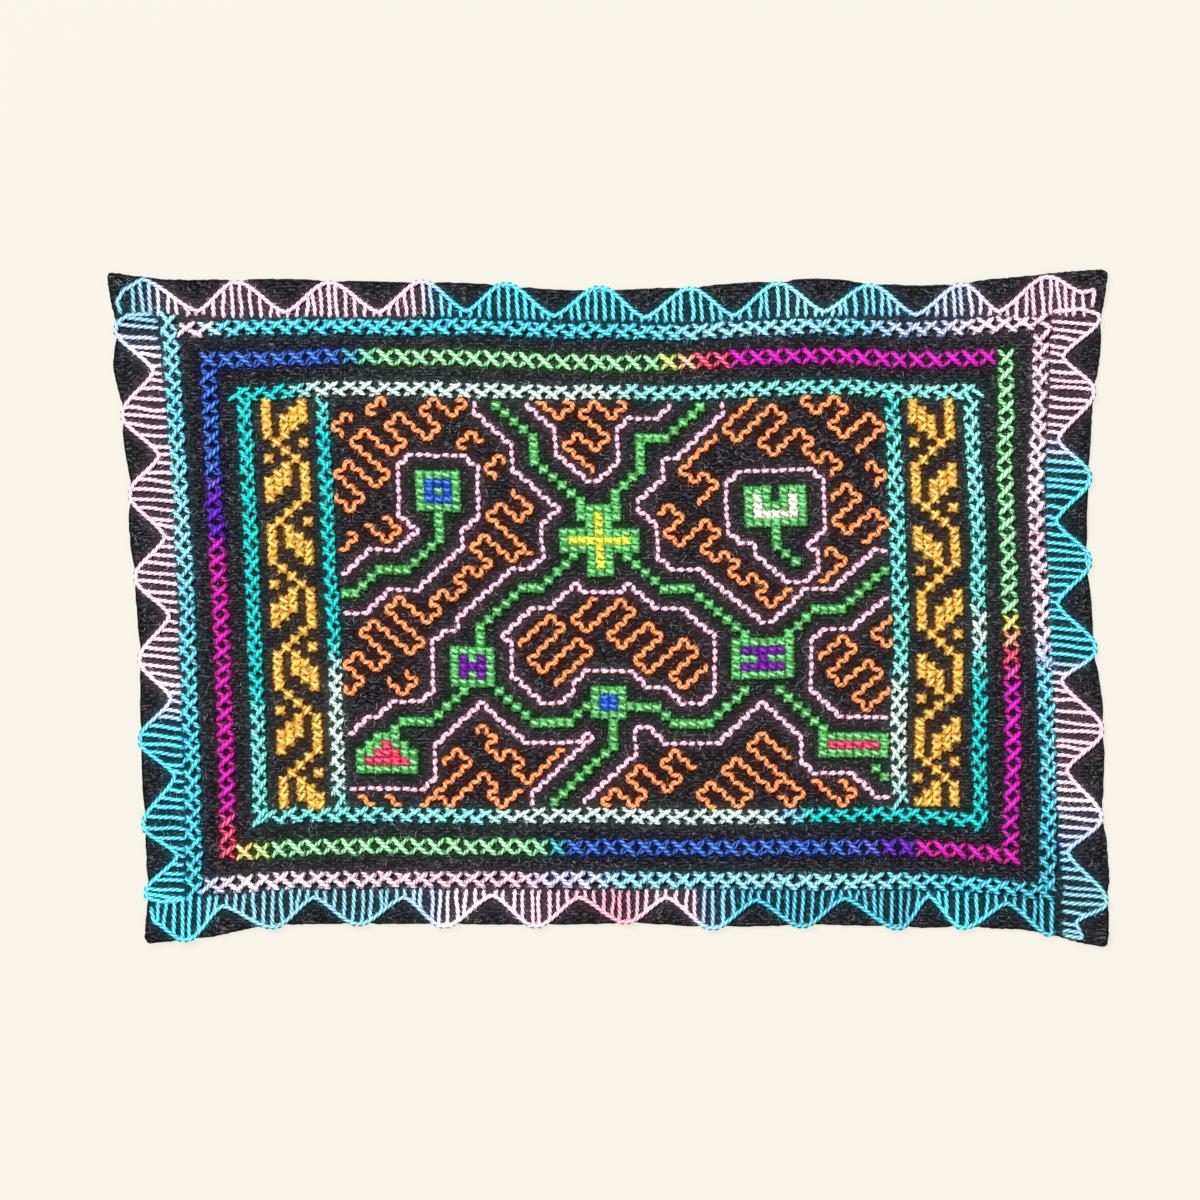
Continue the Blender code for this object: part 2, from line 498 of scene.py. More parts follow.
# Colours along the bands: tables with the columns (along, colour)
OUTER_TOP_COLOURS = (
    (-128, "pink"), (-122, "white_pink"), (-117, "aqua"), (-100, "turquoise"), (5, "turquoise"),
    (18, "aqua"), (30, "pale_aqua"), (58, "pale_aqua"), (66, "sky"), (74, "aqua"), (86, "periwinkle"),
    (103, "lavender"), (112, "white_pink"), (133, "pink"),
)
OUTER_BOTTOM_COLOURS = (
    (-121, "periwinkle"), (-117, "lavender"), (-112, "white_pink"), (-60, "pink"), (-24, "pink"),
    (-18, "lavender"), (-6, "lavender"), (4, "pale_aqua"), (80, "pale_aqua"), (92, "aqua"),
    (104, "turquoise"), (114, "turquoise"), (124, "azure"), (133, "azure"),
)
OUTER_LEFT_COLOURS = (
    (-86, "turquoise"), (-40, "turquoise"), (-18, "aqua"), (0, "aqua"), (20, "pale_aqua"),
    (60, "aqua"), (88, "pale_aqua"),
)
OUTER_RIGHT_COLOURS = (
    (-86, "azure"), (-74, "azure"), (-62, "turquoise"), (-54, "aqua"), (-24, "aqua"), (-18, "sky"),
    (-13, "lavender"), (-7, "white_pink"), (20, "pink"), (34, "white_pink"), (86, "pink"),
)
INNER_TOP_COLOURS = (
    (-112, "teal"), (-95, "teal"), (-86, "mint"), (-2, "mint"), (8, "light_teal"), (40, "light_teal"),
    (60, "soft_teal"), (80, "soft_teal"), (98, "light_teal"), (112, "light_teal"),
)
INNER_BOTTOM_COLOURS = (
    (-105, "soft_teal"), (-76, "soft_teal"), (-60, "light_teal"), (-38, "light_teal"), (-26, "mint"),
    (48, "mint"),
    (54, "sky"), (60, "teal"), (112, "teal"),
)
INNER_LEFT_COLOURS = (
    (-66, "soft_teal"), (-34, "soft_teal"), (-26, "teal"), (68, "teal"),
)
INNER_RIGHT_COLOURS = (
    (-66, "teal"), (-22, "teal"), (-14, "soft_teal"), (-10, "mint"), (-5, "mint"), (2, "soft_teal"),
    (26, "soft_teal"), (36, "light_teal"), (66, "light_teal"),
)
UPRIGHT_LEFT_COLOURS = (
    (-60, "soft_teal"), (-50, "mint"), (-22, "mint"), (-12, "teal"), (54, "teal"),
    (64, "soft_teal"),
)
UPRIGHT_RIGHT_COLOURS = (
    (-60, "soft_teal"), (-50, "mint"), (-26, "mint"), (-16, "soft_teal"), (44, "soft_teal"),
    (64, "teal"),
)
CROSS_TOP_COLOURS = (
    (-121, "blue"), (-79, "blue"), (-74, "sea_green"), (-69, "green"), (17, "green"),
    (19.5, "yellow"), (24, "peach"), (29, "red"), (34, "red"), (39, "magenta"), (117, "magenta"),
)
CROSS_BOTTOM_COLOURS = (
    (-111, "peach"), (-106, "yellow"), (-101, "green"), (-21, "green"),
    (-16, "sea_green"), (-12, "blue"), (72, "blue"), (85, "purple"), (91, "purple"),
    (94, "fuchsia"), (122, "fuchsia"),
)
CROSS_LEFT_COLOURS = (
    (-75, "red"), (-66, "red"), (-60, "fuchsia"), (18, "fuchsia"), (21, "purple"), (36, "purple"),
    (43, "blue"), (76, "blue"),
)
CROSS_RIGHT_COLOURS = (
    (-76, "magenta"), (-21, "magenta"), (-16, "red"), (-11.5, "red"), (-7, "peach"),
    (-2.5, "yellow"), (1, "green"), (76, "green"),
)


class Band:
    """A row of stitches: where its middle runs, how it is coloured, and where it starts and ends."""

    def __init__(self, middle, colours, start, end, upright):
        self.middle = middle
        self.colours = colours
        self.start = start
        self.end = end
        self.upright = upright

    def point(self, along, across):
        """A point at a place along the band and at an offset across it, to its right or up."""
        middle = float(smooth_through(self.middle, along)) + across
        return np.array((middle, along) if self.upright else (along, middle))

    def colour(self, along):
        return shades(self.colours, along)[0]

    def pitch(self, wanted):
        """The pitch nearest the one wanted that divides the band evenly, and how many fit."""
        count = round((self.end - self.start) / wanted)
        return (self.end - self.start) / count, count


# How far a herringbone stitch slips: all of it along the band, then its bottom, top, end and start
HERRINGBONE_SLIPS = (0.22, 0.2, 0.2, 0.16, 0.14)
HERRINGBONE_LEAD = 0.3
# Painted shade and light along each stitch: darker at its low start, lighter at its end, which climbs on
# top
HERRINGBONE_PAINTED_LIGHT = (0.78, 1.12)
HERRINGBONE_TONES = (0.9, 1.06)
HERRINGBONE_GIRTHS = (0.92, 1.1)
HERRINGBONE_CLIMB = 1.4
BOW_SLIP = 0.15


def herringbone(thread, band, pitch, width, lay, radius, turn, rings, bend=0.0):
    """Long slanting stitches that cross twice. lay gives, in pitches, how long the rising ones
    are, how far the falling ones start after them, and how long those are. With a bend they run
    steeply at their upper or right ends and lie flatter at the others, or the other way round
    where it is negative."""
    bend = bend if band.upright else -bend
    step, count = band.pitch(pitch)
    rising_reach, falling_start, falling_reach = lay
    for n in range(count):
        for rising in (True, False):
            slips = chance.normal(0, 1, 5) * HERRINGBONE_SLIPS
            first = n - HERRINGBONE_LEAD + (0 if rising else falling_start)
            start = band.start + first * step + slips[0]
            end = start + (rising_reach if rising else falling_reach) * step + slips[3]
            start = start + slips[4]
            bottom = -width / 2 + slips[1]
            top = width / 2 + slips[2]
            across = (bottom, top) if rising else (top, bottom)
            colour = band.colour(np.clip((start + end) / 2, band.start, band.end))
            # Painted shade where the stitch lies low, painted light where it climbs on top
            colour = colour * np.linspace(*HERRINGBONE_PAINTED_LIGHT, rings)[:, None]
            colour = colour * chance.uniform(*HERRINGBONE_TONES)
            stitch(
                thread, band.point(start, across[0]), band.point(end, across[1]),
                radius * chance.uniform(*HERRINGBONE_GIRTHS), colour, turn, rings,
                climb=HERRINGBONE_CLIMB * radius, bow=bend + chance.normal(0, BOW_SLIP),
                taper=0.5, reach=0.15,
            )


# A cross is dark where its red and green add up to less than this
DARK_THREAD = 0.25

# Strokes of a dark cross and of another one: the columns (under, bow)
DARK_STROKES = ((True, -0.55), (True, 0.55), (False, 0.0))
PALE_STROKES = ((True, 0.0), (False, 0.0))
CROSS_REACH = (0.07, 0.93)
CROSS_SLIP = 0.18
CROSS_GIRTHS = (0.93, 1.08)
CROSS_TURNS = (0.9, 1.3)
CROSS_BOW_SLIP = 0.12
UNDER_GIRTH = 1.02
DARK_UNDER_GIRTH = 0.72
# Under strokes get painted shade: their colour raised to a power, then darkened
UNDER_SHADE_POWER = 1.3
UNDER_PAINTED_SHADE = 0.75
TOP_GIRTH = 1.15
TOP_HUMP = 1.2
# The top stroke's colour is raised to a lower power, which pales it: painted light
TOP_PAINTED_LIGHT_POWER = 0.92


def cross_row(thread, band, pitch, width, radius, turn, rings):
    """A row of crosses, corner to corner. The dark ones have two strokes below the top one."""
    step, count = band.pitch(pitch)
    for n in range(count):
        low, high = (band.start + (n + share) * step for share in CROSS_REACH)
        colour = band.colour((low + high) / 2)
        dark = colour[0] + colour[1] < DARK_THREAD
        thin = DARK_UNDER_GIRTH if dark else UNDER_GIRTH
        for under, bow in DARK_STROKES if dark else PALE_STROKES:
            sign = 1 if under != band.upright else -1
            slips = chance.normal(0, CROSS_SLIP, 4)
            start = band.point(low + slips[0], -sign * (width / 2 + slips[1]))
            end = band.point(high + slips[2], sign * (width / 2 + slips[3]))
            # Painted shade on the under strokes, painted light on the top one
            stitch(
                thread, start, end,
                radius * (thin if under else TOP_GIRTH) * chance.uniform(*CROSS_GIRTHS),
                colour**UNDER_SHADE_POWER * UNDER_PAINTED_SHADE if under else colour**TOP_PAINTED_LIGHT_POWER,
                turn * chance.uniform(*CROSS_TURNS), rings,
                hump=0.0 if under else TOP_HUMP * radius,
                bow=bow + chance.normal(0, CROSS_BOW_SLIP), taper=0.32, reach=0.13,
            )


# Rows of herringbone: the columns (band, pitch, width, lay, radius, bend), where a band has the
# columns (middle, colours, start, end, upright)
OUTER_ROWS = (
    ((OUTER_TOP, OUTER_TOP_COLOURS, -128, 68, False), 5.3, 4.1, (1.17, 0.34, 1.32), 0.79, 0.0),
    ((OUTER_TOP, OUTER_TOP_COLOURS, 68, 133, False), 5.3, 4.3, (1.12, 0.34, 1.12), 0.77, -0.05),
    ((OUTER_BOTTOM, OUTER_BOTTOM_COLOURS, -121, 62, False), 5.3, 4.5, (1.15, 0.36, 1.15), 0.81, 0.1),
    ((OUTER_BOTTOM, OUTER_BOTTOM_COLOURS, 62, 132, False), 5.3, 4.4, (1.26, 0.4, 1.28), 0.79, 0.08),
    ((OUTER_LEFT, OUTER_LEFT_COLOURS, -86, 88, True), 4.6, 4.7, (1.26, 0.34, 1.26), 0.73, 0.08),
    ((OUTER_RIGHT, OUTER_RIGHT_COLOURS, -85, -14, True), 4.65, 4.5, (1.3, 0.42, 1.3), 0.77, 0.0),
    ((OUTER_RIGHT, OUTER_RIGHT_COLOURS, -14, 85, True), 4.65, 4.5, (1.15, -0.36, 1.15), 0.80, -0.08),
)
OUTER_TURN = 5.2
OUTER_RINGS = 16
INNER_RADIUS = 0.73
INNER_ROWS = (
    ((INNER_TOP, INNER_TOP_COLOURS, -112, 111, False), 5.3, 3.9, (1.2, 0.48, 1.2)),
    ((INNER_BOTTOM, INNER_BOTTOM_COLOURS, -103, 111, False), 5.3, 4.0, (1.17, 0.44, 1.17)),
    ((INNER_LEFT, INNER_LEFT_COLOURS, -64, 63, True), 4.45, 4.0, (1.3, 0.4, 1.3)),
    ((INNER_RIGHT, INNER_RIGHT_COLOURS, -65, 63, True), 4.9, 4.1, (1.3, 0.55, 1.3)),
    ((UPRIGHT_LEFT, UPRIGHT_LEFT_COLOURS, -59, 63, True), 4.47, 3.7, (1.15, 0.35, 1.15)),
    ((UPRIGHT_RIGHT, UPRIGHT_RIGHT_COLOURS, -59, 63, True), 5.0, 4.4, (1.3, 0.5, 1.3)),
)
INNER_TURN = 4.8
INNER_RINGS = 15

# Rows of crosses: the columns (band, pitch, width)
CROSS_ROWS = (
    ((CROSS_TOP, CROSS_TOP_COLOURS, -122.2, 117.0, False), 5.33, 4.3),
    ((CROSS_BOTTOM, CROSS_BOTTOM_COLOURS, -111.2, 124.0, False), 5.28, 4.4),
    ((CROSS_LEFT, CROSS_LEFT_COLOURS, -75.0, 72.2, True), 4.56, 4.4),
    ((CROSS_RIGHT, CROSS_RIGHT_COLOURS, -71.0, 78.0, True), 4.98, 4.3),
)
CROSS_RADIUS = 0.70
CROSS_TURN = 4.8
CROSS_RINGS = 14


# Scalloped edging: tables with the columns (along, line), in the order that they are worked.
# The line is where the scallops' rope runs, and the base is where the spokes start.

SCALLOP_TOP = (
    (-145.2, 88.4), (-146.7, 92.2), (-144.2, 96.0), (-138.8, 99.0), (-122.5, 89.5), (-110.8, 98.1),
    (-96.2, 89.2), (-83.0, 98.0), (-68.2, 89.0), (-55.1, 98.3), (-41.9, 89.4), (-30.2, 97.4),
    (-15.8, 87.8), (-2.0, 96.3), (11.6, 87.6), (25.1, 96.2), (38.0, 88.2), (51.5, 97.7),
    (65.3, 89.4), (79.1, 97.2), (92.6, 88.4), (106.6, 97.4), (117.6, 89.4), (132.1, 99.6),
    (142.4, 95.0), (146.2, 95.7), (145.5, 90.5),
)
TOP_BASE = (
    (-146, 88.6), (-130, 88.4), (-110, 87.6), (-60, 87.9), (0, 86.6), (30, 86.4), (60, 87.9),
    (146, 88.0),
)
SCALLOP_BOTTOM = (
    (-136.6, -89.2), (-135.4, -93.6), (-126.3, -99.0), (-115.1, -89.0), (-100.2, -95.3), (-87.8, -86.4),
    (-74.6, -94.4), (-60.9, -86.4), (-48.8, -95.0), (-34.4, -85.8), (-21.2, -95.0), (-8.3, -86.4),
    (5.8, -93.8), (17.9, -86.4), (31.7, -95.6), (44.9, -87.2), (58.7, -95.0), (71.3, -86.7),
    (87.4, -95.6), (96.5, -85.9), (107.0, -95.4), (120.1, -88.0), (132.6, -97.6),
    (134.6, -96.4),
)
BOTTOM_BASE = (
    (-136, -87.0), (-115, -85.6), (-95, -84.1), (0, -84.1), (90, -84.3), (110, -85.0),
    (143, -88.0),
)
SCALLOP_LEFT = (
    (-86.8, -126.5), (-87.8, -133.0), (-85.2, -138.0), (-73.9, -128.7), (-64.5, -138.9), (-50.1, -129.5),
    (-39.2, -139.9), (-26.9, -130.6), (-15.2, -140.0), (-2.0, -131.1), (9.5, -141.1),
    (21.6, -132.4), (34.7, -142.8), (46.1, -134.2), (58.5, -145.2), (71.5, -135.9),
    (83.0, -147.2), (85.8, -146.8), (88.2, -143.6), (88.6, -136.0),
)
LEFT_BASE = (
    (-87, -126.5), (-57, -126.6), (-44, -127.0), (-24, -127.7), (10, -129.0), (24, -129.7),
    (34, -129.5), (54, -131.4), (85, -134.7), (89, -135.2),
)
SCALLOP_RIGHT = (
    (-97.4, 137.0), (-98.6, 142.6), (-93.7, 140.7), (-87.4, 149.7), (-72.8, 138.2), (-62.4, 148.1),
    (-48.2, 137.8), (-36.2, 148.3), (-21.5, 136.2), (-11.9, 146.3), (1.7, 135.0), (14.4, 144.7),
    (26.3, 134.6), (39.6, 144.7), (50.9, 135.2), (65.4, 145.9), (75.8, 136.6), (86.7, 147.6),
    (88.6, 147.2), (90.2, 142.0), (89.1, 133.8),
)
RIGHT_BASE = (
    (-99, 136.7), (-81, 136.7), (-63, 135.5), (-36, 134.4), (-14, 132.8), (9, 132.3),
    (30, 131.7), (48, 131.7), (58, 132.5), (90, 133.5),
)

# Colours along each side's scallops: tables with the columns (along, colour)
SCALLOP_TOP_COLOURS = (
    (-147, "steel"), (-141, "steel"), (-136, "periwinkle"), (-131, "white_pink"),
    (-126, "pink"), (-57, "pink"), (-51, "sky"), (-46, "turquoise"), (2, "turquoise"),
    (14, "aqua"), (48, "aqua"), (58, "pale_aqua"), (68, "pale_aqua"), (76, "aqua"), (86, "sky"),
    (96, "periwinkle"), (110, "lavender"), (118, "pink"),
    (148, "pink"),
)
SCALLOP_BOTTOM_COLOURS = (
    (-137, "turquoise"), (-124, "turquoise"), (-112, "steel"), (-64, "steel"), (-54, "periwinkle"),
    (-46, "white_pink"), (-20, "pink"), (4, "rose"), (14, "pink"), (25, "pink"),
    (29, "periwinkle"), (34, "sky"), (40, "azure"), (92, "azure"), (98, "turquoise"),
    (112, "turquoise"), (120, "azure"), (144, "azure"),
)
SCALLOP_LEFT_COLOURS = (
    (-88, "turquoise"), (-36, "turquoise"), (-32, "periwinkle"),
    (-28, "lavender"), (-24, "white_pink"), (-10, "pink"), (70, "pink"), (75, "white_pink"),
    (79, "lavender"), (83, "periwinkle"), (87, "steel"), (90, "steel"),
)
SCALLOP_RIGHT_COLOURS = (
    (-99, "steel"), (-80, "steel"), (-74, "sky"), (-70, "periwinkle"), (-64, "lavender"),
    (-56, "white_pink"), (-50, "pink"), (-24, "pink"), (-19, "lavender"), (-14, "turquoise"),
    (34, "turquoise"), (44, "aqua"), (49, "lavender"), (54, "pink"), (90, "pink"),
)

# Each side's scallops: the columns (line, base, colours, upright, first spoke, last spoke, lean)
SCALLOP_SIDES = (
    (SCALLOP_TOP, TOP_BASE, SCALLOP_TOP_COLOURS, False, -141.5, 144.5, -0.6),
    (SCALLOP_BOTTOM, BOTTOM_BASE, SCALLOP_BOTTOM_COLOURS, False, -134.5, 135.5, -0.2),
    (SCALLOP_LEFT, LEFT_BASE, SCALLOP_LEFT_COLOURS, True, -86.5, 87.5, 0.8),
    (SCALLOP_RIGHT, RIGHT_BASE, SCALLOP_RIGHT_COLOURS, True, -96.5, 88.5, -0.9),
)

SCALLOP_DEPTH = 10.0
PEAK_HEIGHT = 4.0
PEAK_FLAT = 1.2
LINE_STEP = 0.2
SMOOTHING = 9

ROPE_RADIUS = 0.70
ROPE_TURN = 5.6
ROPE_HEIGHT = 1.25
ROPE_ENDS = np.array([1.6, 0.8, 0.3])
ROPE_WANDER = 0.05
ROPE_WANDER_SHARE = 0.3
ROPE_WANDER_MOST = 0.5
RING_STEP = 0.4

SPOKE_PITCH = 2.68
SPOKE_PITCHES = (0.84, 1.16)
SPOKE_RADIUS = 0.66
SPOKE_GIRTHS = (0.92, 1.12)
SPOKE_TONES = (0.9, 1.08)
SPOKE_SHORTEST = 0.9
SPOKE_RISE = 0.9
SPOKE_SLIP = 0.14
BASE_SLIP = 0.18
TIP_SLIP = 0.25
SPOKE_BOW = 0.2
SPOKE_WAVE = 0.12


def flattened(rows):
    """The rows, with each outer peak drawn out into a short flat run."""
    rows = np.array(rows, float)
    outward = np.sign(rows[1, 1])
    flat = [rows[0]]
    for before, row, after in zip(rows, rows[1:], rows[2:]):
        if min((row[1] - before[1]) * outward, (row[1] - after[1]) * outward) > PEAK_HEIGHT:
            flat += [row - (PEAK_FLAT, 0), row + (PEAK_FLAT, 0)]
        else:
            flat.append(row)
    return np.array([*flat, rows[-1]])


def rope_line(rows):
    """The scallops' line: nearly straight slopes, rounded at each peak and valley."""
    rows = flattened(rows)
    pieces = []
    for start, end in zip(rows[:-1], rows[1:]):
        span = np.hypot(*(end - start))
        t = np.linspace(0, 1, max(int(span / LINE_STEP), 3), endpoint=False)
        ease = 0.5 * t + 0.5 * eased(t)
        along = start[0] + (end[0] - start[0]) * t
        line = start[1] + (end[1] - start[1]) * ease
        pieces.append(np.column_stack([along, line]))
    pieces.append(rows[-1:])
    points = np.concatenate(pieces)
    kernel = np.hanning(SMOOTHING)
    kernel /= kernel.sum()
    padded = np.pad(points, ((SMOOTHING // 2, SMOOTHING // 2), (0, 0)), mode="edge")
    return np.stack([np.convolve(padded[:, axis], kernel, mode="valid") for axis in (0, 1)], axis=1)


def evenly(points, spacing):
    """The same line with its points evenly spaced."""
    steps = np.hypot(*np.diff(points, axis=0).T)
    length = np.concatenate([[0.0], np.cumsum(steps)])
    at = np.linspace(0, length[-1], max(int(round(length[-1] / spacing)) + 1, 4))
    return np.stack([np.interp(at, length, points[:, axis]) for axis in (0, 1)], axis=1)


def scallop_rope(thread, line, colours, upright):
    """The rope along a scallops' line. It wanders a little, and its ends go down into the cloth."""
    rope = evenly(line, RING_STEP)
    wander = np.cumsum(chance.normal(0, ROPE_WANDER, rope.shape), axis=0)
    trend = np.linspace(0, 1, len(rope))[:, None] * wander[-1]
    rope = rope + ROPE_WANDER_SHARE * np.clip(wander - trend, -ROPE_WANDER_MOST, ROPE_WANDER_MOST)
    xy = rope[:, ::-1] if upright else rope
    z = cloth_top(xy[:, 0], xy[:, 1]) + ROPE_RADIUS * ROPE_HEIGHT
    z[:len(ROPE_ENDS)] -= ROPE_ENDS
    z[-len(ROPE_ENDS):] -= ROPE_ENDS[::-1]
    thread.strand(np.column_stack([xy, z]), ROPE_RADIUS, shades(colours, rope[:, 0]), ROPE_TURN)


def scallops(thread, rows, base_rows, colours, upright, first, last, lean):
    """One side's scallops: a rope along the line, and a spoke to it from the base at each stitch.

    lean is how far the spokes' outer ends stand on from their inner ends."""
    line = rope_line(rows)
    scallop_rope(thread, line, colours, upright)
    outward = 1 if rows[1][1] > 0 else -1
    order = np.argsort(line[:, 0])
    place = first
    while place < last:
        base_at = place + chance.normal(0, SPOKE_SLIP)
        base = float(smooth_through(base_rows, base_at)) + chance.normal(0, BASE_SLIP)
        depth = abs(np.interp(base_at, line[order, 0], line[order, 1]) - base)
        tip_at = base_at + lean * depth / SCALLOP_DEPTH + chance.normal(0, TIP_SLIP)
        tip = np.interp(tip_at, line[order, 0], line[order, 1])
        if abs(tip - base) > SPOKE_SHORTEST and (tip - base) * outward > 0:
            start = np.array([base_at, base])
            end = np.array([tip_at, tip])
            if upright:
                start, end = start[::-1], end[::-1]
            spoke(thread, start, end, shades(colours, place)[0] * chance.uniform(*SPOKE_TONES))
        place += SPOKE_PITCH * chance.uniform(*SPOKE_PITCHES)


def spoke(thread, start, end, colour):
    """One spoke, from where it comes up through the cloth to the rope at its outer end."""
    way = end - start
    length = np.hypot(*way)
    t = np.linspace(0, 1, max(int(length / RING_STEP), 5))
    side = np.array([-way[1], way[0]]) / length
    bend = chance.normal(0, SPOKE_BOW) * np.sin(np.pi * t)
    bend = bend + chance.normal(0, SPOKE_WAVE) * np.sin(2 * np.pi * t)
    path = start + way * t[:, None] + side * bend[:, None]
    dip = np.clip(t * length / SPOKE_RISE, 0, 1)
    height = -BURIED + (BURIED + SPOKE_RADIUS) * np.sqrt(1 - (1 - dip) ** 2)
    z = cloth_top(path[:, 0], path[:, 1]) + height
    thread.strand(
        np.column_stack([path, z]), SPOKE_RADIUS * chance.uniform(*SPOKE_GIRTHS), colour,
        ROPE_TURN, heading=way / length,
    )


# The gold vine: five columns of crosses, in groups of eight rows whose sides swap each time

VINE_COLUMN = 2.7
VINE_COLUMNS = 5
VINE_BAR = 5
VINE_LEAF = 3
VINE_GROUP = 8
VINE_TOP = 63.0
VINE_BOTTOM = -60.5
VINE_HALF_CROSS = np.array([0.42, 0.46])
VINE_SLIP = 0.09
VINE_TONES = (0.85, 1.08)
VINE_RADIUS = 0.90
VINE_TURN = 9.0
VINE_LEFT_EDGE = (
    (-62, -97.7), (-48, -98.4), (-30, -99.2), (-12, -100.1), (6, -100.9), (24, -101.7),
    (42, -102.6), (60, -103.4), (66, -103.7),
)
VINE_RIGHT_EDGE = (
    (-62, 92.3), (-48, 92.2), (-30, 92.9), (-12, 93.4), (6, 93.1), (24, 92.1), (42, 91.3),
    (60, 90.5), (66, 90.2),
)


def vine_group(bar, spreading):
    """One group: a bar at one edge, a leaf of three steps at the other, a stem and a lone cross.

    bar is the bar's column. A spreading leaf starts at the stem and ends at the edge."""
    far = VINE_COLUMNS - 1 - bar
    way = np.sign(far - bar)
    cells = [(bar, row) for row in range(VINE_BAR)]
    for step in range(VINE_LEAF):
        column = VINE_COLUMNS // 2 + way * (step if spreading else VINE_LEAF - 1 - step)
        cells += [(column, row + step) for row in range(VINE_LEAF)]
        cells.append((bar + way * (step + 1), VINE_BAR + step))
    cells.append((far, -1 if spreading else VINE_BAR))
    return cells


def gold_vine(thread, edge, row_height, bar, leaves):
    """One upright panel of the vine, with one group for each of its leaves."""
    cells = []
    for number, spreading in enumerate(leaves):
        cells += [(column, row + VINE_GROUP * number) for column, row in vine_group(bar, spreading)]
        bar = VINE_COLUMNS - 1 - bar
    half = VINE_HALF_CROSS * (VINE_COLUMN, row_height)
    for column, row in sorted(cells, key=lambda cell: (cell[1], cell[0])):
        slip = chance.normal(0, VINE_SLIP, 2)
        y = VINE_TOP - (row + 0.5) * row_height
        if y - row_height / 2 < VINE_BOTTOM:
            continue
        x = float(smooth_through(edge, y)) + (column + 0.5) * VINE_COLUMN
        middle = slip + (x, y)
        colour = linear("gold") * chance.uniform(*VINE_TONES)
        cross(
            thread, middle - half, middle + half, VINE_RADIUS, colour, VINE_TURN,
            top_falls=chance.random() < 0.5,
        )


# The vine's panels: the columns (edge, row height, bar, whether each group's leaf spreads)
VINE_PANELS = (
    (VINE_LEFT_EDGE, 2.36, 0, (False,) + 6 * (True,)),
    (VINE_RIGHT_EDGE, 2.39, VINE_COLUMNS - 1, 6 * (False,) + (True,)),
)


# The middle panel, on a counted grid. Its layout is a generic one of stepped lines and blocks.

GRID_ALONG = 62
GRID_DOWN = 51
PANEL_GAP = 3.0
PANEL_TOP = 63.0
PANEL_BOTTOM = -59.0


def panel_point(column, row):
    """Where a grid line crossing lies, on the cloth as it is pulled by the bands round it."""
    u = column / GRID_ALONG
    v = row / GRID_DOWN
    y = PANEL_TOP - v * (PANEL_TOP - PANEL_BOTTOM)
    left = float(smooth_through(UPRIGHT_LEFT, y)) + PANEL_GAP
    right = float(smooth_through(UPRIGHT_RIGHT, y)) - PANEL_GAP
    x = left + u * (right - left)
    top = float(smooth_through(INNER_TOP, x)) - PANEL_GAP
    bottom = float(smooth_through(INNER_BOTTOM, x)) + PANEL_GAP
    return np.array([x, top + v * (bottom - top)])


# Blocks: a colour, the top left cell, and rows of marks showing which cells take that colour
PLUS = ("...x...", "...x...", "...x...", "xxxxxxx", "...x...", "...x...", "...x...")
RING = ("xxx", "x.x", "xxx")
CUP = ("x...x", "x...x", "xxxxx")
STEPS = ("..x..", ".xxx.", "xxxxx")
SQUARE = ("xx", "xx")
RUNGS = ("x.x", "xxx", "x.x")
BEAM = ("xxxxx", "..x..", "xxxxx")
BAR = ("xxxxxx",)
BLOCKS = (
    ("yellow", 26, 14, PLUS),
    ("blue", 10, 10, RING),
    ("cream", 47, 12, CUP),
    ("dark_purple", 13, 32, RUNGS),
    ("dark_purple", 45, 31, BEAM),
    ("red", 2, 43, STEPS),
    ("blue", 29, 37, SQUARE),
    ("red", 55, 43, BAR),
)
# Stepped lines, each through a few (column, row) cells
LINES = (
    ((18, 0), (22, 4), (22, 7), (27, 12), (27, 14)),
    ((41, 0), (37, 4), (34, 4), (34, 8), (31, 11), (31, 14)),
    ((26, 19), (22, 23), (20, 23), (15, 28), (15, 31)),
    ((32, 19), (36, 23), (39, 23), (46, 30)),
    ((11, 14), (11, 17), (7, 21), (4, 21), (1, 24), (0, 24)),
    ((49, 30), (53, 26), (56, 26), (61, 21)),
    ((13, 36), (9, 40), (6, 40), (4, 42)),
    ((17, 36), (21, 40), (25, 40), (27, 38), (28, 38)),
    ((45, 36), (41, 40), (37, 40), (35, 38), (32, 38)),
    ((49, 36), (53, 40), (54, 41)),
    ((30, 40), (30, 43), (23, 50)),
    ((60, 46), (61, 47)),
    ((49, 15), (49, 18), (51, 20)),
)


def block_cells(column, row, marks):
    return {
        (column + i, row + j)
        for j, line in enumerate(marks)
        for i, mark in enumerate(line)
        if mark == "x"
    }


def line_cells(corners):
    """Cells along a line of straight and diagonal steps between the corners given."""
    cells = set()
    for (column, row), (last_column, last_row) in zip(corners[:-1], corners[1:]):
        cells.add((column, row))
        while (column, row) != (last_column, last_row):
            column += np.sign(last_column - column)
            row += np.sign(last_row - row)
            cells.add((int(column), int(row)))
    return cells


def inside_panel(cells):
    return {(i, j) for i, j in cells if 0 <= i < GRID_ALONG and 0 <= j < GRID_DOWN}


def panel_chart():
    """The green cells, and a colour for each block's middle cells."""
    middles = {}
    green = set()
    for colour, column, row, marks in BLOCKS:
        for cell in block_cells(column, row, marks):
            middles[cell] = colour
    for i, j in list(middles):
        green |= {(i + a, j + b) for a in (-1, 0, 1) for b in (-1, 0, 1)}
    for corners in LINES:
        green |= line_cells(corners)
    return inside_panel(green - set(middles)), middles


PINK_GAP = 2.6
DIAGONAL_SHARE = 0.66
FAR_AWAY = 99.0
GRID_RINGS = 8
GRID_SLIP = 0.12
GRID_BOW_SLIP = 0.08


def near_field(cells):
    """How far each cell is from the nearest of those given, counting diagonals longer."""
    column, row = np.meshgrid(np.arange(GRID_ALONG), np.arange(GRID_DOWN), indexing="ij")
    field = np.full(column.shape, FAR_AWAY)
    for i, j in cells:
        a = abs(column - i)
        b = abs(row - j)
        field = np.minimum(field, np.maximum(np.maximum(a, b), DIAGONAL_SHARE * (a + b)))
    return field


